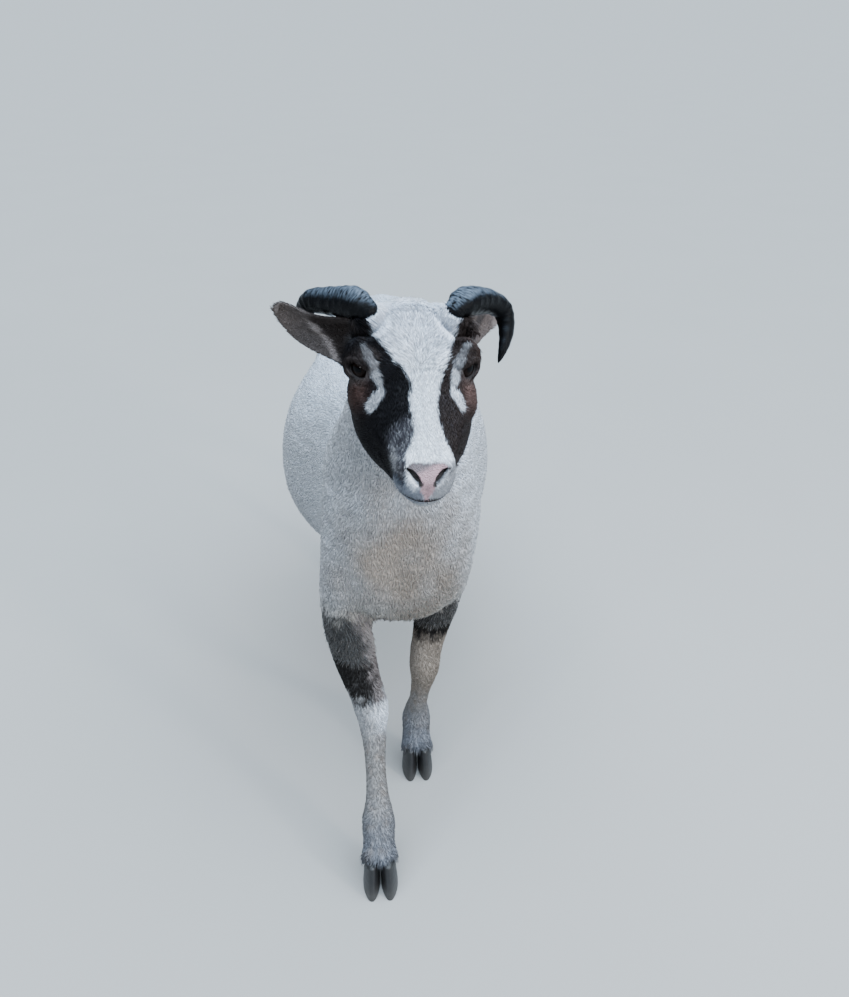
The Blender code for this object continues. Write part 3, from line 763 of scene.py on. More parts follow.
@dataclass
class Skull:
    """The head without ears and horns: sections from the poll to the nose, and rounded forms."""

    voxel: float = 0.00135
    sections: tuple = (
        # s, top, widest, bottom, half width, crown, jaw
        (-0.098, 0.020, -0.010, -0.048, 0.034, 2.0, 2.0),
        (-0.082, 0.040, -0.008, -0.066, 0.043, 2.1, 2.0),
        (-0.060, 0.051, -0.007, -0.082, 0.049, 2.2, 2.0),
        (-0.037, 0.053, -0.009, -0.088, 0.0530, 2.2, 2.0),
        (-0.014, 0.049, -0.012, -0.088, 0.0570, 2.2, 2.0),
        (0.006, 0.043, -0.017, -0.084, 0.0580, 2.1, 2.1),
        (0.026, 0.036, -0.023, -0.077, 0.0565, 2.0, 2.1),
        (0.046, 0.029, -0.027, -0.070, 0.0520, 1.95, 2.0),
        (0.066, 0.023, -0.029, -0.063, 0.0445, 1.95, 1.9),
        (0.086, 0.017, -0.026, -0.057, 0.0350, 2.05, 1.8),
        (0.104, 0.011, -0.021, -0.053, 0.0285, 2.2, 1.75),
        (0.118, 0.004, -0.017, -0.048, 0.0255, 2.2, 1.7),
        (0.128, -0.003, -0.017, -0.041, 0.0200, 2.1, 1.75),
        (0.134, -0.010, -0.019, -0.032, 0.0115, 2.0, 1.9),
    )
    neck: tuple = (
        # x, y, z, half width, half depth, from the shoulder
        (0.000, 0.090, 0.440, 0.092, 0.105),
        (0.000, 0.050, 0.482, 0.086, 0.102),
        (0.001, 0.018, 0.530, 0.071, 0.086),
        (0.004, -0.008, 0.582, 0.058, 0.071),
        (0.010, -0.034, 0.628, 0.050, 0.062),
        (0.013, -0.066, 0.662, 0.047, 0.054),
        (0.014, -0.098, 0.678, 0.041, 0.046),
    )
    forms: tuple = (
        # seat and radii on each side of the head
        ((0.0475, -0.006, 0.013), (0.0168, 0.0190, 0.0175)),
        ((0.040, -0.010, 0.0260), (0.0185, 0.028, 0.0080)),
        ((0.040, 0.010, -0.0090), (0.0205, 0.042, 0.0185)),
        ((0.036, -0.044, 0.034), (0.020, 0.022, 0.017)),
        ((0.0150, 0.112, -0.0050), (0.0100, 0.0140, 0.0095)),
        ((0.0108, 0.118, -0.0260), (0.0120, 0.0120, 0.0090)),
    )
    touches: tuple = (
        # seat, radii and push outwards, on both sides
        ((0.0470, -0.008, 0.0290), (0.014, 0.016, 0.006), 0.0012),
        ((0.0420, 0.046, 0.004), (0.009, 0.020, 0.012), -0.0016),
        ((0.0560, 0.024, -0.013), (0.012, 0.026, 0.007), 0.0010),
        ((0.0390, 0.075, -0.020), (0.012, 0.022, 0.010), -0.0010),
        ((0.0490, -0.018, -0.050), (0.018, 0.030, 0.020), 0.0014),
        ((0.0190, 0.1185, 0.0015), (0.0050, 0.0075, 0.0050), 0.0010),
        ((0.0145, 0.1265, -0.0230), (0.0080, 0.0080, 0.0050), 0.0009),
        ((0.0000, 0.1330, -0.0200), (0.0013, 0.0100, 0.0085), -0.0013),
        ((0.0000, 0.1290, -0.0290), (0.0130, 0.0120, 0.0020), 0.0006),
        ((0.0000, 0.1270, -0.0350), (0.0120, 0.0120, 0.0022), -0.0005),
    )
    opening: tuple = (0.0122, 0.0080, 0.0072)
    folds: tuple = (
        # half length, half height, softness, depth, side of the eye, and where it starts and is full
        (0.0170, 0.0122, 0.085, 0.0010, 1, 0.0, 0.004),
        (0.0180, 0.0125, 0.090, 0.0007, -1, 0.001, 0.005),
    )
    rims: tuple = (0.00135, 0.00115)
    socket_gap: float = 0.0002
    chin: tuple = ((0, 0.108, -0.044), (0.0135, 0.0140, 0.0085))
    mouth_seat: tuple = (0, 0.085, -0.0289)
    mouth_reach: float = math.radians(100)
    groove: tuple = (0.0026, 0.0009)
    rear: float = -0.075

    def section_ring(self, row: np.ndarray, count: int = 56) -> list:
        """Points round one section, whose upper and lower halves differ.

        Args:
            row: one row of sections.
            count: the number of points.

        Returns:
            The points.
        """
        s, top, widest, bottom, half_width, crown, jaw = row
        ring = []
        for angle in circle(count):
            across, up = math.cos(angle), math.sin(angle)
            power, reach = (crown, top - widest) if up > 0 else (jaw, widest - bottom)
            v = half_width * math.copysign(abs(across) ** (2 / power), across)
            w = reach * math.copysign(abs(up) ** (2 / power), up)
            ring.append(HEAD.place(v, s, widest + w))
        return ring

    def neck_rings(self) -> list:
        """Rings along the neck, each square to its path.

        Returns:
            Lists of points.
        """
        rows = smooth_rows(self.neck, 4)
        middles = [Vector(row[:3]) + SHOULDER for row in rows]
        rings = []
        for index, (middle, row) in enumerate(zip(middles, rows)):
            along = middles[min(index + 1, len(rows) - 1)] - middles[max(index - 1, 0)]
            side = Vector((1, 0, 0))
            side = (side - along * side.dot(along) / along.length_squared).normalized()
            deep = along.cross(side).normalized()
            wide, high = side * row[3], deep * row[4]
            rings.append([middle + wide * math.cos(a) + high * math.sin(a) for a in circle(40)])
        return rings

    def forms_joined(self) -> bpy.types.Object:
        """All forms as one mesh of closed bodies that overlap.

        Returns:
            The object.
        """
        rows = smooth_rows(self.sections, 4)
        pieces = [loft("skull", [self.section_ring(row) for row in rows])]
        pieces.append(loft("neck", self.neck_rings()))
        turn = HEAD.turn()
        for side in SIDES:
            for (v, s, w), radii in self.forms:
                pieces.append(ellipsoid(HEAD.place(side * v, s, w), radii, turn))
        pieces.append(ellipsoid(HEAD.place(*self.chin[0]), self.chin[1], turn))
        return joined("head_skin", pieces)

    def push(self, head: bpy.types.Object) -> None:
        """Presses the small forms of the face in and out, and the folds over and under the eyes.

        Args:
            head: the head's skin so far.
        """
        points, normals = points_of(head), normals_of(head)
        move = pushed(np.zeros(len(points)), HEAD.read(points), self.touches)
        for side in SIDES:
            centre, looks, along, up = (np.array(part) for part in eye_axes(side))
            gap = points - centre
            a, b, out = gap @ along, gap @ up, gap @ looks
            facing = ramp(out, -0.004, 0.004)
            pressed = np.zeros(len(points))
            for long, tall, soft, deep, way, low, high in self.folds:
                ring = (np.hypot(a / long, b / tall) - 1) / soft
                pressed += deep * (np.exp(-(ring**2)) * ramp(way * b, low, high))
            move -= facing * pressed
        set_points(head, points + normals * move[:, None])

    def almond(self, angle: float, grow: float = 1.0) -> tuple:
        """A point of the eye's opening: along it and across it.

        Args:
            angle: where on the opening the point lies.
            grow: a factor on its size.

        Returns:
            The two distances from the middle of the eye.
        """
        length, over, under = self.opening
        height = over if math.sin(angle) > 0 else under
        rise = math.copysign(abs(math.sin(angle)) ** 1.25, math.sin(angle))
        return length * grow * math.cos(angle), height * grow * rise

    def open_eye(self, head: bpy.types.Object, side: int) -> None:
        """Cuts the lids open, rolls their rims and hollows the socket.

        Args:
            head: the head's skin so far.
            side: -1 for her right, 1 for her left.
        """
        centre, looks, along, up = eye_axes(side)
        count = 48
        angles = circle(count)
        almond = [self.almond(angle) for angle in angles]
        rings = [
            [centre + looks * out + along * a + up * b for a, b in almond] for out in (0.004, 0.034)
        ]
        boolean(head, loft("opening", rings), Way.CUT)
        middles = []
        for angle in angles:
            a, b = self.almond(angle, 1.03)
            out = math.sqrt((EYEBALL_RADIUS + 0.0012) ** 2 - a * a - b * b)
            middles.append(centre + looks * out + along * a + up * b)
        rings = []
        for step, middle in enumerate(middles):
            tangent = (middles[(step + 1) % count] - middles[step - 1]).normalized()
            outward = (middle - centre).normalized()
            across = tangent.cross(outward).normalized()
            thick = self.rims[0] if math.sin(angles[step]) > 0 else self.rims[1]
            rings.append(
                [middle + (outward * math.cos(k) + across * math.sin(k)) * thick for k in circle(10)]
            )
        boolean(head, loft("rim", rings, True), Way.JOIN)
        socket = (EYEBALL_RADIUS + self.socket_gap,) * 3
        boolean(head, ellipsoid(centre, socket, HEAD.turn(), 48), Way.CUT)

    def nostril(self, side: int) -> bpy.types.Object:
        """The cutter of one nostril: a curved slit that opens out and down.

        Args:
            side: -1 for her right, 1 for her left.

        Returns:
            The object.
        """
        rings = []
        for step in range(15):
            t = step / 14
            v = 0.0066 + 0.0120 * t
            s = 0.1340 - 0.0060 * t - 0.0050 * t * t
            w = -0.0108 + 0.0096 * t**0.8
            wide = 0.0010 + 0.0026 * math.sin(math.pi * min(1, 0.15 + 0.85 * t**0.7))
            ring = []
            for k in circle(14):
                across, up = v + wide * 0.5 * math.cos(k), w - wide * math.cos(k)
                ring.append(HEAD.place(side * across, s + 0.0075 * math.sin(k), up))
            rings.append(ring)
        return loft("nostril", rings)

    def mouth(self, head: bpy.types.Object) -> bpy.types.Object:
        """The cutter of the mouth: a thin groove that follows the surface round the muzzle.

        Args:
            head: the head's skin so far.

        Returns:
            The object.
        """
        middle = HEAD.place(*self.mouth_seat)
        turn = HEAD.turn()
        up = turn @ Vector((0, 0, 1))
        rings = []
        for step in range(61):
            t = -1 + step / 30
            swing = self.mouth_reach * t
            rise = 0.21 * abs(t) ** 1.3 - 0.01 * (1 - abs(t))
            out = (turn @ Vector((math.sin(swing), -math.cos(swing), rise))).normalized()
            _, hit, _, _ = head.ray_cast(middle + out * 0.1, -out)
            deep, high = self.groove[0] * (1 - 0.6 * abs(t)), self.groove[1]
            rings.append(
                [hit + out * deep * math.cos(k) + up * high * math.sin(k) for k in circle(8)]
            )
        return loft("mouth", rings)

    def build(self) -> bpy.types.Object:
        """Makes the head's skin, a coat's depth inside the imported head.

        Returns:
            The object, closed.
        """
        head = self.forms_joined()
        remeshed(head, self.voxel, 26)
        rear = HEAD.turn() @ Vector((0, -1, 0))
        boolean(head, half_space(HEAD.place(0, self.rear, 0), rear), Way.KEEP)
        points = points_of(head)
        seats = HEAD.read(points)
        dive = ramp(-seats[:, 1], 0.040, 0.066)
        depth = self.depth(seats) + 0.0065 * dive
        set_points(head, points - normals_of(head) * depth[:, None])
        self.push(head)
        for side in SIDES:
            self.open_eye(head, side)
            boolean(head, self.nostril(side), Way.CUT)
        boolean(head, self.mouth(head), Way.CUT)
        seats = HEAD.read(points_of(head))
        near = 1 - ramp(eye_gap(seats), 0.018, 0.022)
        near = np.maximum(near, ramp(seats[:, 1], 0.108, 0.114))
        relax(head, 2, near)
        return head

    @staticmethod
    def depth(seats: np.ndarray) -> np.ndarray:
        """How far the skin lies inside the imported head: nothing at the lids and the nose."""
        hairy = ramp(eye_gap(seats), 0.020, 0.032) * (1 - ramp(seats[:, 1], 0.095, 0.118))
        return 0.0013 * hairy


@dataclass
class Skin:
    """One skin over the whole ewe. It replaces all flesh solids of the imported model."""

    voxel: float = 0.0060
    wool_depth: float = 0.0042
    leg_depth: float = 0.0012
    dive: float = 0.0080
    overlap: float = 0.0005
    smoothing: int = 18
    flesh: tuple = ("torso", "neck", "head", "tail", "ear_left", "ear_right") + tuple(
        f"{leg}_{part}"
        for leg in ("fore_leg_left", "fore_leg_right", "hind_leg_left", "hind_leg_right")
        for part in ("upper", "lower")
    )
    touches: tuple = (
        # seat from the shoulder, radii and push outwards, on both sides
        ((0.090, 0.040, 0.440), (0.040, 0.050, 0.060), 0.0030),
        ((0.115, 0.135, 0.410), (0.050, 0.026, 0.080), -0.0040),
        ((0.075, 0.405, 0.545), (0.028, 0.030, 0.024), 0.0040),
        ((0.140, 0.345, 0.470), (0.050, 0.040, 0.045), -0.0050),
        ((0.000, 0.300, 0.562), (0.007, 0.200, 0.020), 0.0015),
        ((0.000, -0.070, 0.440), (0.012, 0.050, 0.080), -0.0030),
        ((0.090, 0.430, 0.400), (0.040, 0.050, 0.050), 0.0030),
    )

    def build(self, ears: list) -> bpy.types.Object:
        """Makes the skin as one closed surface.

        Args:
            ears: the two ears, whose shells are joined to the head.

        Returns:
            The skin, without its materials.
        """
        body = self.body()
        head = Skull().build()
        boolean(body, head, Way.JOIN)
        for ear in ears:
            boolean(body, ear.build(), Way.JOIN)
        skin = self.largest(body)
        skin.name = "skin"
        seats = HEAD.read(points_of(skin))
        join = np.exp(-(((seats[:, 1] + 0.052) / 0.012) ** 2)) * ramp(seats[:, 2], -0.16, -0.12)
        root = np.zeros(len(seats))
        for side in SIDES:
            gap = np.linalg.norm(seats - np.array((side * 0.052, -0.043, 0.012)), axis=1)
            root = np.maximum(root, 1 - ramp(gap, 0.014, 0.022))
        relax(skin, 8, np.maximum(join, root * 0.8))
        shade_smooth(skin)
        return skin

    def body(self) -> bpy.types.Object:
        """The body's skin drawn in by the wool's depth, so that it dives under the head's.

        Returns:
            The object, closed.
        """
        made = bmesh.new()
        for name in self.flesh:
            if name.startswith("ear"):
                continue
            part = bmesh.new()
            part.from_mesh(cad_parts[name].data)
            bmesh.ops.remove_doubles(part, verts=part.verts, dist=1e-5)
            bmesh.ops.recalc_face_normals(part, faces=part.faces)
            part.normal_update()
            for vertex in part.verts:
                vertex.co += vertex.normal * self.overlap
            mesh = bpy.data.meshes.new(name)
            part.to_mesh(mesh)
            part.free()
            made.from_mesh(mesh)
            bpy.data.meshes.remove(mesh)
        body = from_bmesh("body_skin", made)
        remeshed(body, self.voxel, 1)
        relax(body, self.smoothing)
        points, normals = points_of(body), normals_of(body)
        own = points - np.array(SHOULDER)
        seats = HEAD.read(points)
        inside_head = ramp(seats[:, 1], -0.062, -0.030) * ramp(seats[:, 2], -0.125, -0.100)
        legs = 1 - ramp(own[:, 2], 0.235, 0.315)
        depth = self.wool_depth * (1 - legs) + self.leg_depth * legs + self.dive * inside_head
        move = pushed(-depth, own, self.touches)
        set_points(body, points + normals * move[:, None])
        return body

    @staticmethod
    def largest(thing: bpy.types.Object) -> bpy.types.Object:
        """Keeps the largest connected surface of a mesh.

        Args:
            thing: the object.

        Returns:
            The same object.
        """
        edges = edges_of(thing)
        group = np.arange(len(thing.data.vertices))
        while True:
            low = np.minimum(group[edges[:, 0]], group[edges[:, 1]])
            before = group.copy()
            np.minimum.at(group, edges[:, 0], low)
            np.minimum.at(group, edges[:, 1], low)
            group = group[group]
            if (group == before).all():
                break
        keep = group == np.bincount(group).argmax()
        made = bmesh.new()
        made.from_mesh(thing.data)
        made.verts.ensure_lookup_table()
        lost = [made.verts[index] for index in np.flatnonzero(~keep)]
        bmesh.ops.delete(made, geom=lost, context="VERTS")
        made.to_mesh(thing.data)
        made.free()
        return thing


# The colours, lengths and lie of the hair


@dataclass(frozen=True)
class Hair:
    """Colours of hair and bare skin, as linear red, green and blue. Top holds painted sky light, and
    shade and the colours round and in the mouth hold painted shade and shadow.
    """

    white: tuple = (0.78, 0.83, 0.92)
    blaze: tuple = (0.84, 0.89, 0.97)
    fleece: tuple = (0.64, 0.675, 0.735)
    # top: the fleece with painted sky light. shade: painted shade on white hair and wool.
    top: tuple = (0.72, 0.79, 0.89)
    shade: tuple = (0.36, 0.37, 0.40)
    stain: tuple = (0.40, 0.325, 0.265)
    earth: tuple = (0.24, 0.195, 0.155)
    cream: tuple = (0.62, 0.565, 0.48)
    black: tuple = (0.0065, 0.0062, 0.0080)
    brown: tuple = (0.024, 0.018, 0.017)
    rust: tuple = (0.062, 0.036, 0.031)
    pale_rust: tuple = (0.125, 0.078, 0.070)
    crescent: tuple = (0.44, 0.445, 0.47)
    roan: tuple = (0.062, 0.060, 0.073)
    ear: tuple = (0.100, 0.086, 0.082)
    pale_ear: tuple = (0.25, 0.215, 0.21)
    ear_streak: tuple = (0.42, 0.37, 0.36)
    tan: tuple = (0.175, 0.125, 0.090)
    dark_leg: tuple = (0.012, 0.0103, 0.0098)
    forearm: tuple = (0.28, 0.235, 0.195)
    leg: tuple = (0.26, 0.25, 0.245)
    fetlock: tuple = (0.165, 0.180, 0.215)
    inside: tuple = (0.27, 0.235, 0.23)
    pink: tuple = (0.37, 0.235, 0.262)
    pad: tuple = (0.115, 0.095, 0.105)
    # the blue-grey round the mouth: white hair in painted shade
    lip_shade: tuple = (0.13, 0.155, 0.205)
    lid: tuple = (0.016, 0.012, 0.012)
    lid_hair: tuple = (0.060, 0.048, 0.046)
    # near-black painted shadow in the mouth's line and inside the nostrils
    mouth: tuple = (0.009, 0.005, 0.005)


@dataclass
class Markings:
    """The ewe's markings with painted shade and sky light laid over them, and the lie of her hair,
    worked out for each place on the skin.
    """

    ears: list
    horns: list
    hair: Hair = Hair()
    wool_length: float = 0.0088
    leg_length: float = 0.0058
    face_length: float = 0.0062
    ear_length: float = 0.0046
    wool_width: float = 0.00185
    leg_width: float = 0.00115
    face_width: float = 0.00062
    ear_width: float = 0.00070
    # Borders of the white blaze in millimetres: forward of the eyes, and across
    blaze_right: tuple = (
        (-70, -27),
        (-38, -42.8),
        (-25, -38.8),
        (-3.5, -30.9),
        (14, -22.9),
        (33, -10.8),
        (44, -7.1),
        (62, -10.1),
        (80, -8.7),
        (92, -8.3),
        (102, -12),
        (109.5, -16.8),
        (117, -19.0),
        (125, -18.0),
    )
    blaze_left: tuple = (
        (-70, 30),
        (-42.5, 48.4),
        (-26, 43.4),
        (-3.8, 34.1),
        (15, 28.7),
        (31.4, 22.1),
        (46.6, 17.3),
        (61.4, 14.2),
        (77, 13.4),
        (89, 16),
        (98.7, 19),
        (104.4, 24),
        (106, 40),
    )
    widest: tuple = ((-60, -7), (-14, -12), (6, -17), (46, -27), (66, -29), (104, -21), (130, -18))
    # Upper edges of the painted shade under the jaw on her right and left, in millimetres: forward of
    # the eyes, and height
    jaw_right: tuple = (
        (-70, -36),
        (-30, -52),
        (20, -62),
        (60, -58),
        (90, -50),
        (106, -34),
        (114, -19),
    )
    jaw_left: tuple = (
        (-70, -36),
        (-30, -52),
        (20, -60),
        (56, -50),
        (80, -40),
        (97, -24),
        (104, -12),
        (106, 0),
    )

    def read(self, points: np.ndarray, normals: np.ndarray) -> None:
        """Notes, for each place on the skin, which part of the ewe it belongs to.

        Args:
            points: rows of places in the ewe's axes.
            normals: the outward direction at each place.
        """
        self.points, self.normals = points, normals
        self.own = points - np.array(SHOULDER)
        self.seats = HEAD.read(points)
        s, w = self.seats[:, 1], self.seats[:, 2]
        self.head = ramp(s, -0.074, -0.052) * ramp(w, -0.118, -0.096)
        found = [ear.nearest(points) for ear in self.ears]
        away = np.stack([gap for gap, _ in found])
        self.ear = 1 - ramp(away.min(axis=0), 0.0004, 0.0030)
        best = away.argmin(axis=0)
        spots = np.stack([spot for _, spot in found])
        self.spot = spots[best, np.arange(len(points))]
        self.ear *= ramp(self.spot[:, 0], 0.10, 0.22)
        self.ear_side = np.array([ear.side for ear in self.ears])[best]
        self.horn = np.max([horn.covers(points) for horn in self.horns], axis=0)
        self.leg = 1 - ramp(self.own[:, 2], 0.225, 0.300)
        self.eye_gap = eye_gap(self.seats)

    def drifted(self) -> np.ndarray:
        """Where the middle of the hair that grows at each place lies, in the head's axes."""
        reach = 0.45 * self.lengths() * (self.bare() < 0.5)
        return HEAD.read(self.points + self.lie() * reach[:, None])

    def along_border(self, border: tuple, forward: np.ndarray) -> np.ndarray:
        """The border's place across, in millimetres, at each place forward."""
        return np.interp(forward, *zip(*border))

    def nose(self) -> np.ndarray:
        """1 on the bare skin of the nose, else 0.

        Returns:
            One number for each place.
        """
        v, s, w = self.seats.T * 1000
        heights = (-29.5, -27, -22, -18.8, -14, -10, -5, -1, 2, 4)
        wide = np.interp(w, heights, (-1.0, 1.6, 3.6, 5.0, 6.2, 8.6, 16.4, 18.3, 16.0, 11.0))
        edge = np.minimum(wide - np.abs(v) + 0.5 * ripple(self.points, 0.003, 21), 2.4 - w)
        front = np.interp(w, (-32, -12, 0, 3), (123, 120.5, 118.8, 117.6))
        return ramp(np.minimum(edge, s - front), -0.5, 0.7)

    def lip_line(self) -> np.ndarray:
        """The height of the mouth's line beside each place, in millimetres."""
        return -29.4 + 0.75 * np.minimum(np.abs(self.seats[:, 0]) / 0.010, 2.2) ** 1.5

    def nostrils(self) -> np.ndarray:
        """1 in the nostrils, fading out at their rims.

        Returns:
            One number for each place.
        """
        v, s, w = self.seats.T * 1000
        t = np.clip((np.abs(v) - 6.6) / 12, 0, 1)
        gap = np.hypot(np.abs(v) - 6.6 - 12 * t, w + 10.8 - 9.6 * t**0.8)
        wide = 1.9 + 2.6 * np.sin(math.pi * np.minimum(1, 0.15 + 0.85 * t**0.7))
        return ramp(wide - gap, 0, 0.8) * ramp(s, 112, 118)

    def face(self) -> np.ndarray:
        """Colours on the head, with painted shade under the jaw and chin, round the mouth and between
        the blaze's locks, and painted shadow in the mouth's line and the nostrils.

        Returns:
            Rows of red, green and blue.
        """
        hair = self.hair
        seats = self.drifted()
        v, s, w = seats.T * 1000
        fuzz = 0.7 * ripple(self.points, 0.0065, 3) + 1.2 * ripple(self.points, 0.0023, 4)
        fine = ripple(self.points, 0.0016, 5)
        left = ramp(v, -1, 1)
        colour = mixed(hair.black, hair.brown, left)
        patchy = ramp(ripple(self.points, 0.012, 6), -0.6, 1.2)
        colour = mixed(colour, hair.brown, 0.35 * patchy * ramp(-s, -10, 20))
        # Rust under both eyes, and the paler skin outside her left one
        under = blob(seats, (-0.053, 0.022, 0.000), (0.013, 0.016, 0.016))
        colour = mixed(colour, hair.rust, np.clip(under * 1.3, 0, 1))
        under = blob(seats, (0.054, 0.023, 0.000), (0.013, 0.018, 0.017))
        colour = mixed(colour, hair.pale_rust, np.clip(under * 1.25, 0, 1))
        beside = blob(seats, (0.055, -0.014, 0.018), (0.010, 0.012, 0.012))
        colour = mixed(colour, hair.pale_rust, 0.55 * beside)
        # Mottled hair down her left cheek and grey roan beside her right nostril
        flecks = left * ramp(s, 36, 60) * ramp(fine + 0.5 * patchy, 0.3, 1.3)
        colour = mixed(colour, hair.roan, 0.40 * flecks)
        roan = (1 - left) * ramp(s + fuzz, 72, 84) * ramp(v + fuzz, -33, -25) * ramp(w, -17, -9)
        colour = mixed(colour, hair.roan, roan * 0.75)
        colour = mixed(colour, hair.crescent, roan * ramp(fine, 0.35, 1.0) * 0.5)
        streak = blob(seats, (-0.0265, 0.1045, -0.0055), (0.0028, 0.0095, 0.0080))
        colour = mixed(colour, hair.crescent, np.clip(streak * 1.3, 0, 1) * (0.7 + 0.3 * fine))
        # The crescents that curve round the inner corners of the eyes, and the drops under them
        for line, widths, whiter in (
            (
                ((-47, -5), (-43.5, 6), (-39.5, 15), (-36, 24), (-33, 34), (-32.3, 40)),
                (2.4, 3.4, 3.7, 3.2, 2.0, 1.4),
                0.1,
            ),
            (((-33.5, 42), (-37, 43.5), (-42, 41)), (3.0, 6.2, 4.6), 0.45),
            (
                ((50.0, -8), (43.5, 7), (38.0, 18), (33.0, 31), (30.5, 39)),
                (2.4, 3.4, 4.2, 3.2, 2.0),
                0.4,
            ),
            (((31, 42.5), (35, 44.5), (39, 42)), (3.0, 6.8, 5.6), 1.0),
        ):
            share = self.band(line, widths, v, s, fuzz) * ramp(w, -8, -2)
            pale = mixed(hair.crescent, hair.white, whiter + 0 * v)
            share = share * (0.45 + 0.35 * ramp(s, 2, 22))
            colour = mixed(colour, pale, share * (1 + 0.25 * fine))
        # Grey-brown hair close round the eyes
        around = 1 - ramp(self.eye_gap + 0.0012 * fuzz, 0.0185, 0.0235)
        colour = mixed(colour, hair.lid_hair, 0.65 * around)
        # The white blaze
        right_gap = v - self.along_border(self.blaze_right, s)
        left_gap = self.along_border(self.blaze_left, s) - v
        middle = self.along_border(self.widest, s)
        upper = ramp(w - middle + fuzz, -7, -2)
        upper = np.maximum(upper, left * ramp(s + fuzz, 103, 108))
        white = ramp(np.where(v < 0, right_gap, left_gap) + fuzz, -1.1, 1.1) * upper
        tone = mixed(hair.white, hair.blaze, ramp(s, -30, 30))
        # Painted shade between the locks of the blaze, in streaks along the hair
        lock = ripple(self.points * (1.0, 0.20, 0.20), 0.0022, 9)
        tone = mixed(tone, hair.shade, 0.38 * ramp(lock, 0.1, 1.4))
        edge = ramp(4.5 - np.abs(np.where(v < 0, right_gap, left_gap)), 0, 4) * ramp(s, 40, 70)
        tone = mixed(tone, hair.roan, 0.30 * edge * ramp(fine, 0.0, 1.0))
        colour = mixed(colour, tone, white)
        # Painted shade on the white hair under the jaw; behind the horns the hair is white again
        for border, side in ((self.jaw_right, 1 - left), (self.jaw_left, left)):
            low = ramp(self.along_border(border, s) - w + 1.6 * fuzz, -3, 3)
            colour = mixed(colour, hair.shade, low * side)
        back = ramp(-s + 1.5 * fuzz, 58, 68)
        colour = mixed(colour, hair.white, back)
        # Painted blue-grey shade round the mouth, then the nose, the mouth's line and the rims of the
        # lids
        lip_shade = ramp(-w + 1.5 * fuzz, 11, 18) * ramp(s, 108, 116) * ramp(w, -40, -35)
        colour = mixed(colour, hair.lip_shade, lip_shade * (0.85 - 0.75 * left) * (0.8 + 0.2 * fine))
        # Painted shade under the chin
        chin = ramp(-w, 32, 35) * ramp(s, 100, 112)
        colour = mixed(colour, hair.shade, chin * 0.8)
        upper = ramp(w + 0.8 * fuzz - 0.28 * v, -3.5, 2.0)
        leather = mixed(hair.pink, hair.pad, upper)
        spotted = ramp(ripple(self.points, 0.0024, 11), 0.7, 1.3) * ramp(-w, 9, 16)
        leather = mixed(leather, hair.pad, 0.7 * spotted)
        colour = mixed(colour, leather, self.nose())
        # Painted shadow: near-black in the mouth's line and inside the nostrils
        groove = ramp(1.7 - np.abs(w - self.lip_line()), 0, 0.6) * ramp(s, 120, 128)
        colour = mixed(colour, hair.mouth, np.maximum(groove, self.nostrils()))
        rim = 1 - ramp(self.eye_gap, 0.0162, 0.0176)
        return mixed(colour, hair.lid, rim)

    def band(
        self,
        line: tuple,
        widths: tuple,
        across: np.ndarray,
        forward: np.ndarray,
        fuzz: np.ndarray,
    ) -> np.ndarray:
        """1 within a soft band along a line on the face.

        Args:
            line: corners of the line, across and forward in millimetres.
            widths: half widths of the band at the corners.
            across: place of each vertex across.
            forward: place of each vertex forward.
            fuzz: unevenness of the border in millimetres.

        Returns:
            The share of the band at each vertex.
        """
        rows = smooth_rows([(*corner, width) for corner, width in zip(line, widths)], 8)
        best = np.full(len(across), -50.0)
        for a, b, width in rows:
            best = np.maximum(best, width - np.hypot(across - a, forward - b))
        return ramp(best + 0.6 * fuzz, -0.9, 0.9)

    def ear_colour(self) -> np.ndarray:
        """Colours as they are on the ears: dark with a pale streak inside, browner behind.

        Returns:
            Rows of red, green and blue.
        """
        hair = self.hair
        t, q, inside = self.spot.T
        fine = ripple(self.points, 0.0022, 13)
        cup = ramp(inside, -0.5, 0.5)
        colour = mixed(hair.brown, hair.ear, 0.35 + 0.65 * cup)
        up = -q * self.ear_side
        middle = -1.56 + 2.85 * t
        fold = ramp(up - middle, 0.10, 0.34) * ramp(0.72 - t, 0, 0.12) * cup
        colour = mixed(colour, hair.brown, 0.85 * fold)
        colour = mixed(colour, hair.pale_ear, 0.35 * ramp(fine, 0.0, 1.1) * (1 - fold))
        pale = self.ear_side > 0
        colour[pale] = mixed(colour[pale], hair.pale_ear, np.full(pale.sum(), 0.80))
        streak = ramp(0.20 - np.abs(up - middle), 0, 0.14) * ramp(0.74 - t, 0, 0.12)
        return mixed(colour, hair.ear_streak, streak * cup * (0.75 + 0.25 * fine))

    def body(self) -> np.ndarray:
        """Colours on the trunk and the neck, with painted sky light where the wool faces up and
        painted shade on the sides, low down and over the front.

        Returns:
            Rows of red, green and blue.
        """
        hair = self.hair
        x, y, z = self.own.T
        up = self.normals[:, 2]
        soft = ripple(self.points, 0.06, 14)
        streaks = ripple(self.points * (1.0, 0.55, 0.16), 0.0075, 15)
        # Painted sky light: lighter and bluer where the wool faces up
        colour = mixed(hair.fleece, hair.top, ramp(up, 0.1, 0.8))
        # Painted shade on the sides and low down, deeper on her right side and less where the wool
        # faces up
        low = ramp(0.40 - z + 0.02 * soft, 0, 0.10)
        side = 0.25 + 0.20 * ramp(-x, 0, 0.08)
        colour = mixed(colour, hair.shade, side + 0.30 * low - side * ramp(up, 0.1, 0.6))
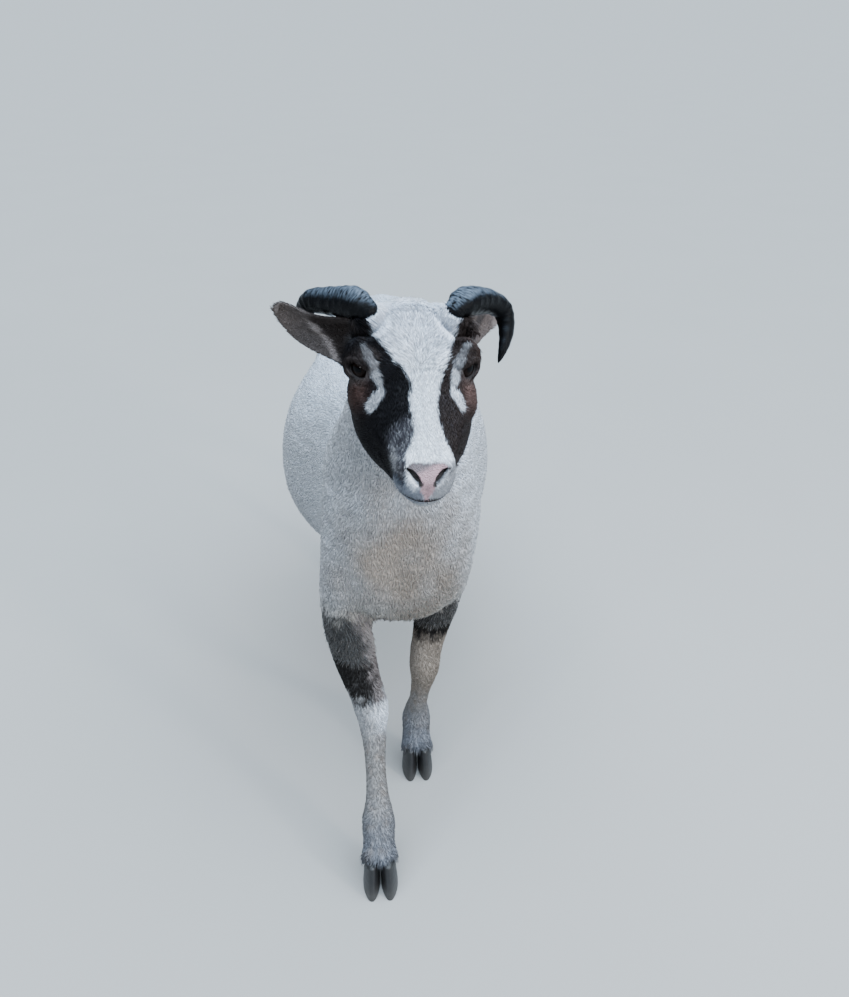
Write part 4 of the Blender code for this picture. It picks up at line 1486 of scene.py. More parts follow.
        # Painted shade over the front of the neck and chest, in streaks of thinner hair, weaker on her
        # left side
        front = ramp(0.10 - y, 0, 0.09)
        grey = front * (0.55 + 0.40 * ramp(streaks, -0.2, 1.2)) * (1 - 0.5 * ramp(x, 0, 0.07))
        colour = mixed(colour, hair.shade, grey)
        chest = blob(self.own, (0.010, -0.070, 0.405), (0.075, 0.070, 0.085))
        colour = mixed(colour, hair.stain, np.clip(chest * (0.90 + 0.30 * soft), 0, 0.9))
        locks = blob(self.own, (0.0, -0.035, 0.300), (0.085, 0.075, 0.035))
        colour = mixed(colour, hair.cream, np.clip(locks * 1.1, 0, 0.85))
        earth = blob(self.own, (-0.045, -0.045, 0.292), (0.045, 0.060, 0.024))
        earth = earth + blob(self.own, (0.035, -0.060, 0.335), (0.055, 0.075, 0.055))
        colour = mixed(colour, hair.earth, np.clip(earth * (0.9 + 0.4 * soft), 0, 0.8))
        fine = ripple(self.points * (1.0, 1.0, 0.5), 0.005, 16)
        return colour * (1 - 0.09 * ramp(streaks + 0.5 * fine, 0.0, 1.6))[:, None]

    def legs(self) -> np.ndarray:
        """Colours as they are on the legs, from the elbow and the thigh to the hoofs.

        Returns:
            Rows of red, green and blue.
        """
        hair = self.hair
        x, y, z = self.own.T
        fuzz = ripple(self.points, 0.013, 17)
        streaks = ripple(self.points * (1.0, 1.0, 0.12), 0.0045, 18)
        colour = mixed(hair.leg, hair.tan, 0.45 * ramp(streaks, 0.1, 1.2))
        fore, right = y < MIDDLE_Y, x < 0
        # Right fore leg: dark forearm, pale on its inner side, and a white knee
        upper = ramp(z + 0.006 * fuzz, 0.217, 0.228)
        inner = ramp(x + 0.036 + (z - 0.25) * 0.35 + 0.004 * fuzz, -0.008, 0.006)
        arm = mixed(hair.dark_leg, hair.inside, inner * 0.80)
        knee = np.exp(-(((z - 0.200) / 0.022) ** 2))
        near = 0.25 + 0.75 * ramp(x + 0.045 + (z - 0.25) * 0.35 + 0.004 * fuzz, -0.012, 0.006)
        first = mixed(colour, hair.white, np.clip(1.2 * knee, 0, 1) * 0.9 * near)
        first = mixed(first, arm, upper)
        # Left fore leg: a dark patch over a tan forearm
        patch = ramp(z + 0.010 * fuzz, 0.236, 0.254)
        second = mixed(colour, hair.forearm, ramp(z + 0.01 * fuzz, 0.105, 0.180) * 0.95)
        second = mixed(second, hair.dark_leg, patch)
        # Hind legs: white thighs, and dark from the hock down
        shank = ramp(0.225 - z + 0.012 * fuzz, 0, 0.018)
        third = mixed(hair.fleece, hair.dark_leg, shank * 0.85)
        third = mixed(third, hair.tan, shank * 0.5 * ramp(streaks, 0, 1))
        for chosen, made in ((fore & right, first), (fore & ~right, second), (~fore, third)):
            colour[chosen] = made[chosen]
        # All legs: grey-blue fetlocks, and a pale ring over the hoof
        ankle = ramp(0.125 - z + 0.006 * fuzz, 0, 0.075) * (0.85 - 0.35 * ramp(streaks, 0.2, 1.2))
        colour = mixed(colour, hair.fetlock, ankle)
        coronet = ramp(0.032 - z, 0, 0.012)
        return mixed(colour, hair.leg, coronet * 0.6)

    def colours(self) -> np.ndarray:
        """The colour at each place on the skin.

        Returns:
            Rows of red, green and blue.
        """
        z = self.own[:, 2]
        fuzz = ripple(self.points, 0.016, 19)
        colour = mixed(self.body(), self.face(), self.head)
        fore = self.own[:, 1] < MIDDLE_Y
        top = np.where(fore & (self.own[:, 0] < 0), 0.315, np.where(fore, 0.302, 0.262))
        leg = ramp(top - z + 0.010 * fuzz, -0.008, 0.008)
        belly = ramp(self.own[:, 1] + 0.006 * fuzz, 0.078, 0.096)
        leg = leg * np.where(fore, 1 - belly, 1)
        colour = mixed(colour, self.legs(), leg)
        return np.clip(mixed(colour, self.ear_colour(), self.ear), 0.004, 0.95)

    def lie(self) -> np.ndarray:
        """The direction in which the hair lies at each place, along the skin.

        Returns:
            Rows of length 1, square to the normals.
        """
        x, y = self.own[:, 0], self.own[:, 1]
        v, s, w = self.seats.T
        ones = np.ones(len(x))
        body = np.stack([0 * x, 0.9 * ones, -0.75 * ones], axis=1)
        front = ramp(0.12 - y, 0, 0.12)[:, None]
        body = body * (1 - front) + np.array((0, 0.15, -1.0)) * front
        top = ramp(self.normals[:, 2], 0.55, 0.95)[:, None]
        body = body * (1 - top) + np.array((0, 1.0, -0.1)) * top
        rump = ramp(y, 0.50, 0.58)[:, None]
        body = body * (1 - rump) + np.array((0, 0.2, -1.0)) * rump
        leg = self.leg[:, None]
        body = body * (1 - leg) + np.array((0, 0.10, -1.0)) * leg
        # Forehead and bridge: in a V towards the nose. Cheeks: out, down and back.
        fan = np.stack([-v * 0.95, 0.034 - s, 0 * v], axis=1)
        fan[:, 1] = np.maximum(fan[:, 1], 0.020)
        bridge = np.stack([0.35 * v, 0.03 * ones, 0 * v], axis=1)
        lower = ramp(s, 0.016, 0.048)[:, None]
        fan = unit(fan) * (1 - lower) + unit(bridge) * lower
        cheek = np.stack([0.25 * np.sign(v), -0.55 * ones, -0.75 * ones], axis=1)
        temple = (ramp(0.052 - s, 0, 0.030) * ramp(w, 0.002, 0.018))[:, None]
        brow = np.stack([-0.30 * np.sign(v), 0.75 * ones, -0.50 * ones], axis=1)
        cheek = cheek * (1 - temple) + brow * temple
        muzzle = ramp(s, 0.070, 0.110)[:, None]
        cheek = cheek * (1 - muzzle) + np.stack([0.3 * np.sign(v), -0.3 * ones, -ones], 1) * muzzle
        middle = np.interp(s * 1000, *zip(*self.widest)) / 1000
        flat = ramp(w - middle, 0.010, 0.028) * (1 - ramp(np.abs(v), 0.030, 0.046))
        flat = np.maximum(flat, ramp(w, 0.034, 0.042))[:, None]
        face = unit(cheek) * (1 - flat) + fan * flat
        lie = unit(body) * (1 - self.head[:, None]) + HEAD.aim(face) * self.head[:, None]
        for ear in self.ears:
            along = np.array(ear.axes()[1])
            mine = (self.ear * (self.ear_side == ear.side))[:, None]
            lie = lie * (1 - mine) + along * mine
        sway = np.cross(self.normals, lie)
        amount = 0.22 - 0.15 * self.head
        lie = lie + sway * (amount * ripple(self.points, 0.022, 20))[:, None]
        flat_part = (lie * self.normals).sum(axis=1)[:, None] * self.normals
        return unit(lie - flat_part)

    def lengths(self) -> np.ndarray:
        """How long the hair is at each place.

        Returns:
            One length in metres for each place.
        """
        z = self.own[:, 2]
        s, w = self.seats[:, 1], self.seats[:, 2]
        ridge = 1 + 0.22 * np.sin(z * 2 * math.pi / 0.017 + 3 * ripple(self.points, 0.12, 22))
        body = self.wool_length * ridge
        locks = blob(self.own, (0.0, -0.040, 0.295), (0.085, 0.080, 0.040))
        body = body * (1 + 1.5 * locks)
        body = body * (1 - self.leg) + self.leg_length * self.leg
        ankle = np.exp(-(((z - 0.070) / 0.020) ** 2)) * self.leg
        body = body * (1 + 0.25 * ankle)
        body = body * (1 + 1.5 * ramp(0.062 - z, 0, 0.014) * self.leg)
        face = self.face_length - 0.0030 * ramp(s, 0.085, 0.122)
        brow = ramp(0.055 - s, 0, 0.060) * ramp(w, 0.014, 0.030)
        face = face * (1 + 1.3 * brow)
        face = face * (1 - 0.55 * (1 - ramp(self.eye_gap, 0.017, 0.027)))
        made = body * (1 - self.head) + face * self.head
        return made * (1 - self.ear) + self.ear_length * self.ear

    def widths(self) -> np.ndarray:
        """How wide each tuft is.

        Returns:
            One width in metres for each place.
        """
        made = self.wool_width * (1 - self.leg) + self.leg_width * self.leg
        made = made * (1 - self.head) + self.face_width * self.head
        return made * (1 - self.ear) + self.ear_width * self.ear

    def bare(self) -> np.ndarray:
        """1 where no hair grows: nose, lids, mouth, inside the nostrils and under the horns.

        Returns:
            One number for each place.
        """
        s, w = self.seats[:, 1], self.seats[:, 2]
        lids = 1 - ramp(self.eye_gap, 0.0160, 0.0166)
        slit = ramp(s, 0.119, 0.125) * (np.abs(w * 1000 - self.lip_line()) < 1.6)
        sole = 1 - ramp(self.own[:, 2], 0.012, 0.016)
        skin = np.max([self.nose(), self.nostrils(), slit], axis=0)
        return np.max([skin > 0.5, lids > 0.5, self.horn, sole], axis=0)


# The coat: tufts set over the skin by Geometry Nodes


@dataclass
class Tree:
    """A node tree that is wired by short calls."""

    tree: bpy.types.NodeTree

    def socket(self, node: bpy.types.Node, key: str | int) -> bpy.types.NodeSocket:
        """An input by number, or the one of a name which the node's present kind of data uses.

        Args:
            node: the node.
            key: the input's number or name.

        Returns:
            The input.
        """
        if isinstance(key, int):
            return node.inputs[key]
        return next(one for one in node.inputs if one.name == key and one.enabled)

    def feed(self, socket: bpy.types.NodeSocket, value: object) -> None:
        """Links an input to another socket, or sets it to a value.

        Args:
            socket: the input.
            value: a socket or a value.
        """
        if isinstance(value, bpy.types.NodeSocket):
            self.tree.links.new(value, socket)
        else:
            socket.default_value = value

    def add(self, kind: str, inputs: dict | None = None, **settings: object) -> bpy.types.Node:
        """Adds a node.

        Args:
            kind: the node's type.
            inputs: sockets or values for its inputs, by name or number.
            settings: values of its properties.

        Returns:
            The node.
        """
        made = self.tree.nodes.new(kind)
        for name, value in settings.items():
            setattr(made, name, value)
        for key, value in (inputs or {}).items():
            self.feed(self.socket(made, key), value)
        return made

    def maths(self, operation: str, first: object, second: object = 0.0) -> bpy.types.NodeSocket:
        """The result of a Math node on sockets or numbers."""
        return self.add("ShaderNodeMath", {0: first, 1: second}, operation=operation).outputs[0]

    def times(self, first: object, second: object) -> bpy.types.NodeSocket:
        """The product of sockets or numbers."""
        return self.maths("MULTIPLY", first, second)

    def plus(self, first: object, second: object) -> bpy.types.NodeSocket:
        """The sum of sockets or numbers."""
        return self.maths("ADD", first, second)

    def minus(self, first: object, second: object) -> bpy.types.NodeSocket:
        """The difference of sockets or numbers."""
        return self.maths("SUBTRACT", first, second)

    def mix(self, share: object, first: object, second: object) -> bpy.types.NodeSocket:
        """The result of a Mix node on colours."""
        return self.add("ShaderNodeMix", {0: share, 6: first, 7: second}, data_type="RGBA").outputs[2]

    def vector(self, *parts: object) -> bpy.types.NodeSocket:
        """A vector of up to three sockets or numbers."""
        return self.add("ShaderNodeCombineXYZ", dict(enumerate(parts))).outputs[0]

    def scaled(self, vector: object, by: object) -> bpy.types.NodeSocket:
        """A vector or colour multiplied by a number."""
        return self.add("ShaderNodeVectorMath", {0: vector, "Scale": by}, operation="SCALE").outputs[0]

    def attribute(self, name: str, output: str = "Fac") -> bpy.types.NodeSocket:
        """What a shader reads of an attribute: Fac, Color or Vector."""
        return self.add("ShaderNodeAttribute", attribute_name=name).outputs[output]

    def place(self) -> bpy.types.NodeSocket:
        """The place on the piece that a shader works at."""
        return self.add("ShaderNodeTexCoord").outputs["Object"]

    def noise(self, where: object, scale: object, detail: float = 2.0) -> bpy.types.NodeSocket:
        """A field of soft noise, about 0 to 1."""
        inputs = {"Vector": where, "Scale": scale, "Detail": detail}
        return self.add("ShaderNodeTexNoise", inputs).outputs[0]

    def step(self, value: object, low: float, high: float) -> bpy.types.NodeSocket:
        """0 where a value is at low, 1 where it is at high, and clamped."""
        inputs = {0: value, "From Min": low, "From Max": high}
        return self.add("ShaderNodeMapRange", inputs).outputs[0]


@dataclass(frozen=True)
class TuftShape:
    """One small lock of hair of length 1: from a root, over a ridge, to a fine tip."""

    points: tuple = (
        (0.0, -0.05, -0.06),
        (-0.5, 0.36, 0.01),
        (0.0, 0.34, 0.15),
        (0.5, 0.36, 0.01),
        (0.0, 1.0, 0.07),
    )
    faces: tuple = ((0, 2, 1), (0, 3, 2), (4, 1, 2), (4, 2, 3), (0, 1, 3), (4, 3, 1))
    patch: tuple = (
        ((0.62, 0.0), (0.62, 0.36), (0.25, 0.36)),
        ((0.62, 0.0), (1.0, 0.36), (0.62, 0.36)),
        ((0.62, 1.0), (0.25, 0.36), (0.62, 0.36)),
        ((0.62, 1.0), (0.62, 0.36), (1.0, 0.36)),
        ((0.1, 0.0), (0.0, 0.36), (0.2, 0.36)),
        ((0.1, 1.0), (0.2, 0.36), (0.0, 0.36)),
    )

    def build(self) -> bpy.types.Object:
        """Makes the lock, with its own flat patch and how far each point is from the root.

        Returns:
            The object.
        """
        mesh = bpy.data.meshes.new("tuft")
        mesh.from_pydata(self.points, [], self.faces)
        patch = mesh.attributes.new("tuft_uv", "FLOAT2", "CORNER")
        patch.data.foreach_set("vector", np.array(self.patch, np.float32).ravel())
        tuft = link("tuft", mesh)
        write_attribute(tuft, "tip", np.clip([point[1] for point in self.points], 0, 1))
        shade_smooth(tuft)
        return tuft


@dataclass
class CoatTree:
    """The Geometry Nodes tree that sets tufts on one patch of the skin."""

    patch_size: float = 0.003
    roll: float = 0.35
    inputs: tuple = (
        ("Skin", "Geometry"),
        ("Tuft", "Object"),
        ("Patch", "String"),
        ("Density", "Float"),
        ("Seed", "Int"),
        ("Spread", "Float"),
        ("Lift", "Float"),
        ("Thickness", "Float"),
        ("Material", "Material"),
    )

    def named(self, tree: Tree, name: object, kind: str) -> bpy.types.NodeSocket:
        """Reads an attribute of that name and kind.

        Args:
            tree: the tree that is wired.
            name: the name, or a socket that gives it.
            kind: the kind of its data.

        Returns:
            The output socket.
        """
        made = tree.add("GeometryNodeInputNamedAttribute", data_type=kind)
        tree.feed(made.inputs["Name"], name)
        return next(one for one in made.outputs if one.name == "Attribute" and one.enabled)

    def random(self, tree: Tree, low: float, high: float, seed: int) -> bpy.types.NodeSocket:
        """A number from low to high that differs from tuft to tuft.

        Args:
            tree: the tree that is wired.
            low: the least number.
            high: the greatest.
            seed: a fixed seed.

        Returns:
            The output socket.
        """
        inputs = {"Min": low, "Max": high, "Seed": seed}
        made = tree.add("FunctionNodeRandomValue", inputs, data_type="FLOAT")
        return next(one for one in made.outputs if one.enabled)

    def store(self, tree: Tree, flow: object, name: str, value: object, **kind: str) -> object:
        """Stores a value under a name and returns the geometry that carries it."""
        inputs = {"Geometry": flow, "Name": name, "Value": value}
        return tree.add("GeometryNodeStoreNamedAttribute", inputs, **kind).outputs[0]

    def rotation(self, tree: Tree, given: object, normal: object) -> bpy.types.NodeSocket:
        """How each tuft is turned: along the lie of the hair, lifted, rolled and spread a little.

        Args:
            tree: the tree that is wired.
            given: the inputs of the whole tree.
            normal: the skin's direction.

        Returns:
            The output socket.
        """
        facing = tree.add(
            "FunctionNodeAxesToRotation",
            {0: normal, 1: self.named(tree, "lie", "FLOAT_VECTOR")},
            primary_axis="Z",
            secondary_axis="Y",
        )
        lift = tree.times(self.random(tree, 0.2, 1.0, 5), given["Lift"])
        roll = self.random(tree, -self.roll, self.roll, 7)
        yaw = tree.times(self.random(tree, -1.0, 1.0, 11), given["Spread"])
        euler = tree.add("FunctionNodeEulerToRotation", {0: tree.vector(lift, roll, yaw)})
        turns = {0: facing.outputs[0], 1: euler.outputs[0]}
        return tree.add("FunctionNodeRotateRotation", turns, rotation_space="LOCAL").outputs[0]

    def build(self) -> bpy.types.NodeTree:
        """Makes the tree. Its inputs are a tuft, a patch name, numbers and a material.

        Returns:
            The tree.
        """
        group = bpy.data.node_groups.new("coat", "GeometryNodeTree")
        group.is_modifier = True
        for name, kind in self.inputs:
            group.interface.new_socket(name, in_out="INPUT", socket_type="NodeSocket" + kind)
        group.interface.new_socket("Coat", in_out="OUTPUT", socket_type="NodeSocketGeometry")
        tree = Tree(group)
        given = tree.add("NodeGroupInput").outputs
        share = self.named(tree, given["Patch"], "FLOAT")
        places = {
            "Mesh": given["Skin"],
            "Density": tree.times(share, given["Density"]),
            "Seed": given["Seed"],
        }
        spread = tree.add(
            "GeometryNodeDistributePointsOnFaces", places, distribute_method="RANDOM"
        ).outputs
        tint = self.random(tree, 0.0, 1.0, 3)
        flow = self.store(tree, spread["Points"], "tint", tint, data_type="FLOAT", domain="POINT")
        turn = self.rotation(tree, given, spread["Normal"])
        wide = tree.times(self.named(tree, "width", "FLOAT"), self.random(tree, 0.7, 1.3, 13))
        long = tree.times(self.named(tree, "length", "FLOAT"), self.random(tree, 0.7, 1.2, 17))
        size = tree.vector(wide, long, tree.times(long, given["Thickness"]))
        shape = tree.add("GeometryNodeObjectInfo", {"Object": given["Tuft"]}).outputs["Geometry"]
        copies = {"Points": flow, "Instance": shape, "Rotation": turn, "Scale": size}
        flow = tree.add("GeometryNodeInstanceOnPoints", copies).outputs[0]
        flow = tree.add("GeometryNodeRealizeInstances", {0: flow}).outputs[0]
        patch = {
            0: self.named(tree, "tuft_uv", "FLOAT_VECTOR"),
            1: (self.patch_size,) * 3,
            2: self.named(tree, "unwrap", "FLOAT_VECTOR"),
        }
        inner = tree.add("ShaderNodeVectorMath", patch, operation="MULTIPLY_ADD").outputs[0]
        flow = self.store(tree, flow, "OFBake", inner, data_type="FLOAT2", domain="CORNER")
        dressed = {"Geometry": flow, "Material": given["Material"]}
        finish = tree.add("GeometryNodeSetMaterial", dressed).outputs[0]
        tree.add("NodeGroupOutput", {0: finish})
        return group


@dataclass(frozen=True)
class Patch:
    """One piece of the coat: where it grows, how many tufts it has and how they stand."""

    name: str
    tufts: int
    slot: Slot
    spread: float
    lift: float
    thickness: float
    seed: int


@dataclass
class Coat:
    """The whole coat, one piece for each patch of the skin."""

    patches: tuple = (
        Patch("wool_left_front", 27000, Slot.WOOL, 0.34, 0.20, 1.0, 1),
        Patch("wool_left_rear", 27000, Slot.WOOL, 0.34, 0.20, 1.0, 2),
        Patch("wool_right_front", 27000, Slot.WOOL, 0.34, 0.20, 1.0, 3),
        Patch("wool_right_rear", 27000, Slot.WOOL, 0.34, 0.20, 1.0, 4),
        Patch("wool_neck", 28000, Slot.WOOL, 0.28, 0.20, 1.0, 5),
        Patch("hair_face_left", 33000, Slot.FACE, 0.13, 0.12, 0.8, 6),
        Patch("hair_face_right", 33000, Slot.FACE, 0.13, 0.12, 0.8, 7),
        Patch("hair_ears", 11000, Slot.FACE, 0.25, 0.14, 0.8, 8),
        Patch("hair_fore_legs", 18000, Slot.LEG, 0.20, 0.12, 0.8, 9),
        Patch("hair_hind_legs", 18000, Slot.LEG, 0.20, 0.12, 0.8, 10),
    )

    def shares(self, marks: Markings) -> dict:
        """Where each patch grows: 1 or 0 for each place on the skin.

        Args:
            marks: the markings, read for the same skin.

        Returns:
            One array for each patch's name.
        """
        x, y, z = marks.own.T
        ear = marks.ear > 0.5
        head = (marks.head > 0.5) & ~ear
        rear = np.interp(y, (0.30, 0.55), (0.235, 0.275))
        low = z < np.where(y < 0.2, 0.262, rear)
        leg = low & ~head & ~ear & (np.abs(x) > 0.005)
        belly = (y > 0.10) & (y < 0.36) & (z > 0.215)
        leg &= ~belly | (z < 0.24)
        neck = ~head & ~ear & ~leg & ((z > 0.505 - 0.45 * (y - 0.020)) & (y < 0.10) | (y < -0.035))
        trunk = ~head & ~ear & ~leg & ~neck
        left, front = x > 0, y < 0.255
        grown = marks.bare() < 0.5
        found = {
            "wool_left_front": trunk & left & front,
            "wool_left_rear": trunk & left & ~front,
            "wool_right_front": trunk & ~left & front,
            "wool_right_rear": trunk & ~left & ~front,
            "wool_neck": neck,
            "hair_face_left": head & (marks.seats[:, 0] > 0),
            "hair_face_right": head & (marks.seats[:, 0] <= 0),
            "hair_ears": ear,
            "hair_fore_legs": leg & (y < MIDDLE_Y),
            "hair_hind_legs": leg & (y >= MIDDLE_Y),
        }
        return {name: (share & grown).astype(float) for name, share in found.items()}

    def chart(self, name: str, marks: Markings) -> tuple:
        """Two coordinates over the skin's own shape for one patch: round it, and along it.

        Args:
            name: the patch's name.
            marks: the markings, read for the same skin.

        Returns:
            Two arrays, each with a number for each place.
        """
        x, y, z = marks.own.T
        v, s, w = marks.seats.T
        if name.startswith("wool_neck"):
            return np.arctan2(x - 0.004, -(y - 0.02)), z
        if name.startswith("wool"):
            return np.arctan2(np.abs(x), z - 0.42), y
        if name.startswith("hair_face"):
            return np.arctan2(np.abs(v), w + 0.02), s
        if name == "hair_ears":
            t, q, inside = marks.spot.T
            column = (inside > 0) + 2.0 * (marks.ear_side > 0)
            return column + 0.45 + 0.44 * q, t
        fore = np.where(x < 0, -0.11, 0.01)
        middle = np.where(y < MIDDLE_Y, fore, np.where(x < 0, 0.50, 0.575))
        round_leg = np.arctan2(np.abs(x) - 0.045, y - middle)
        return round_leg + 6.6 * (x > 0), z

    def unwrap(self, shares: dict, marks: Markings) -> np.ndarray:
        """The place of each patch on its own square chart.

        Args:
            shares: where each patch grows.
            marks: the markings, read for the same skin.

        Returns:
            Rows of three, the last of them 0.
        """
        made = np.full((len(marks.points), 3), 0.5)
        for name, share in shares.items():
            chosen = share > 0.5
            for column, line in enumerate(self.chart(name, marks)):
                mine = line[chosen]
                low, high = mine.min(), mine.max()
                made[chosen, column] = 0.02 + 0.96 * (mine - low) / (high - low)
        made[:, 2] = 0
        return made - np.array((0.0015, 0.0015, 0))

    def grow(self, skin: bpy.types.Object, marks: Markings, materials: dict) -> list:
        """Grows every patch on the skin.

        Args:
            skin: the finished skin.
            marks: the markings read for the same skin.
            materials: the finish of each slot.

        Returns:
            The pieces of the coat with the slots they belong to.
        """
        shares = self.shares(marks)
        write_attribute(skin, "lie", marks.lie())
        write_attribute(skin, "length", marks.lengths())
        write_attribute(skin, "width", marks.widths())
        write_attribute(skin, "unwrap", self.unwrap(shares, marks))
        for name, share in shares.items():
            write_attribute(skin, name, share)
        areas = self.areas(skin)
        tree, tuft = CoatTree().build(), TuftShape().build()
        inputs = {item.name: item.identifier for item in tree.interface.items_tree}
        pieces = []
        for patch in self.patches:
            bed = link("bed", skin.data)
            modifier = bed.modifiers.new("Coat", "NODES")
            modifier.node_group = tree
            weight = shares[patch.name][areas[0]].mean(axis=1) @ areas[1]
            for key, value in (
                ("Tuft", tuft),
                ("Patch", patch.name),
                ("Density", patch.tufts / max(weight, 1e-6)),
                ("Seed", patch.seed),
                ("Spread", patch.spread),
                ("Lift", patch.lift),
                ("Thickness", patch.thickness),
                ("Material", materials[patch.slot]),
            ):
                modifier[inputs[key]] = value
            graph = bpy.context.evaluated_depsgraph_get()
            mesh = bpy.data.meshes.new_from_object(bed.evaluated_get(graph))
            drop(bed)
            for attribute in list(mesh.attributes):
                kept = attribute.name in ("coat", "tint", "tip", "OFBake", "position", "sharp_face")
                if not kept and not attribute.name.startswith(".") and not attribute.is_required:
                    mesh.attributes.remove(attribute)
            piece = link(patch.name, mesh)
            shade_smooth(piece)
            pieces.append((piece, patch.slot))
        drop(tuft)
        return pieces

    @staticmethod
    def areas(skin: bpy.types.Object) -> tuple:
        """The corners and the area of each triangle of the skin.

        Args:
            skin: the finished skin.

        Returns:
            Rows of three vertices, and one area for each row.
        """
        skin.data.calc_loop_triangles()
        corners = np.empty(len(skin.data.loop_triangles) * 3, np.int32)
        skin.data.loop_triangles.foreach_get("vertices", corners)
        corners = corners.reshape(-1, 3)
        a, b, c = (points_of(skin)[corners[:, k]] for k in range(3))
        return corners, np.linalg.norm(np.cross(b - a, c - a), axis=1) / 2


# Finishes


@dataclass(frozen=True)
class Effects:
    """Shader node groups that several finishes share."""

    def start(self, name: str, numbers: tuple) -> tuple:
        """An empty group that takes a colour and numbers, and gives a colour.

        Args:
            name: the group's name.
            numbers: the names of the numbers.

        Returns:
            The tree and the sockets that it is given.
        """
        group = bpy.data.node_groups.new(name, "ShaderNodeTree")
        group.interface.new_socket("Color", in_out="INPUT", socket_type="NodeSocketColor")
        for label in numbers:
            group.interface.new_socket(label, in_out="INPUT", socket_type="NodeSocketFloat")
        group.interface.new_socket("Color", in_out="OUTPUT", socket_type="NodeSocketColor")
        tree = Tree(group)
        return tree, tree.add("NodeGroupInput").outputs

    def fade(self) -> bpy.types.NodeTree:
        """Colour that changes from root to tip and from one lock to the next.

        Returns:
            The group.
        """
        tree, given = self.start("lock_tone", ("Root", "Spread"))
        rise = tree.times(tree.minus(1.0, tree.attribute("tip")), given["Root"])
        lot = tree.times(tree.minus(tree.attribute("tint"), 0.5), given["Spread"])
        tone = tree.plus(tree.minus(1.06, rise), lot)
        tree.add("NodeGroupOutput", {0: tree.scaled(given["Color"], tone)})
        return tree.tree

    def mottle(self) -> bpy.types.NodeTree:
        """Darker and lighter cloudiness over a colour.

        Returns:
            The group.
        """
        tree, given = self.start("mottle", ("Scale", "Amount"))
        cloud = tree.noise(tree.place(), given["Scale"], 4)
        tone = tree.plus(tree.times(tree.minus(cloud, 0.5), given["Amount"]), 1.0)
        tree.add("NodeGroupOutput", {0: tree.scaled(given["Color"], tone)})
        return tree.tree


@dataclass
class Finish:
    """A material with one Principled shader, and the helpers that its makers use."""

    name: str
    roughness: float
    settings: dict = field(default_factory=dict)

    def start(self) -> tuple:
        """Makes the material and returns it with its tree and its shader's inputs.

        Returns:
            The material, its tree and the inputs of its shader.
        """
        made = bpy.data.materials.new(self.name)
        made.use_nodes = True
        shader = made.node_tree.nodes["Principled BSDF"].inputs
        shader["Roughness"].default_value = self.roughness
        for key, value in self.settings.items():
            shader[key].default_value = value
        return made, Tree(made.node_tree), shader

    def paint(
        self,
        tree: Tree,
        shader: bpy.types.NodeInputs,
        effect: bpy.types.NodeTree,
        colour: object,
        *numbers: float,
    ) -> None:
        """Gives the shader a colour by way of a shared effect.

        Args:
            tree: the material's tree.
            shader: the inputs of its shader.
            effect: the shared node group.
            colour: a socket or a colour that the group changes.
            numbers: the group's other inputs, in order.
        """
        inputs = dict(enumerate((colour, *numbers)))
        made = tree.add("ShaderNodeGroup", inputs, node_tree=effect)
        tree.feed(shader["Base Color"], made.outputs[0])

    def bump(
        self,
        tree: Tree,
        shader: bpy.types.NodeInputs,
        height: bpy.types.NodeSocket,
        depth: float,
    ) -> None:
        """Raises the surface by a height, so many metres deep."""
        made = tree.add("ShaderNodeBump", {"Distance": depth, "Height": height})
        tree.feed(shader["Normal"], made.outputs[0])


@dataclass
class HairFinish(Finish):
    """Hair or wool: the coat's colour with darker roots and uneven locks."""

    root: float = 0.28
    spread: float = 0.20

    def build(self, fade: bpy.types.NodeTree) -> bpy.types.Material:
        """Makes the material from the shared effect.

        Args:
            fade: the shared change from root to tip.

        Returns:
            The material.
        """
        made, tree, shader = self.start()
        coat = tree.attribute("coat", "Color")
        self.paint(tree, shader, fade, coat, self.root, self.spread)
        return made


@dataclass
class SkinFinish(Finish):
    """The skin: fine hair or wool close to it, and pebbled leather where it is bare."""

    cloud_scale: float = 260
    pebble_scale: float = 900
    curl_scale: float = 420

    def build(self, mottle: bpy.types.NodeTree) -> bpy.types.Material:
        """Makes the material from the shared effect.

        Args:
            mottle: the shared cloudiness.

        Returns:
            The material.
        """
        made, tree, shader = self.start()
        leather = tree.attribute("leather")
        self.paint(tree, shader, mottle, tree.attribute("coat", "Color"), self.cloud_scale, 0.5)
        tree.feed(shader["Roughness"], tree.minus(self.roughness, tree.times(leather, 0.40)))
        where = tree.place()
        pebble = tree.add("ShaderNodeTexVoronoi", {"Scale": self.pebble_scale, "Vector": where})
        bare = tree.times(pebble.outputs["Distance"], leather)
        woolly = tree.times(tree.noise(where, self.curl_scale, 3), tree.minus(1.0, leather))
        self.bump(tree, shader, tree.plus(bare, woolly), 0.0009)
        return made


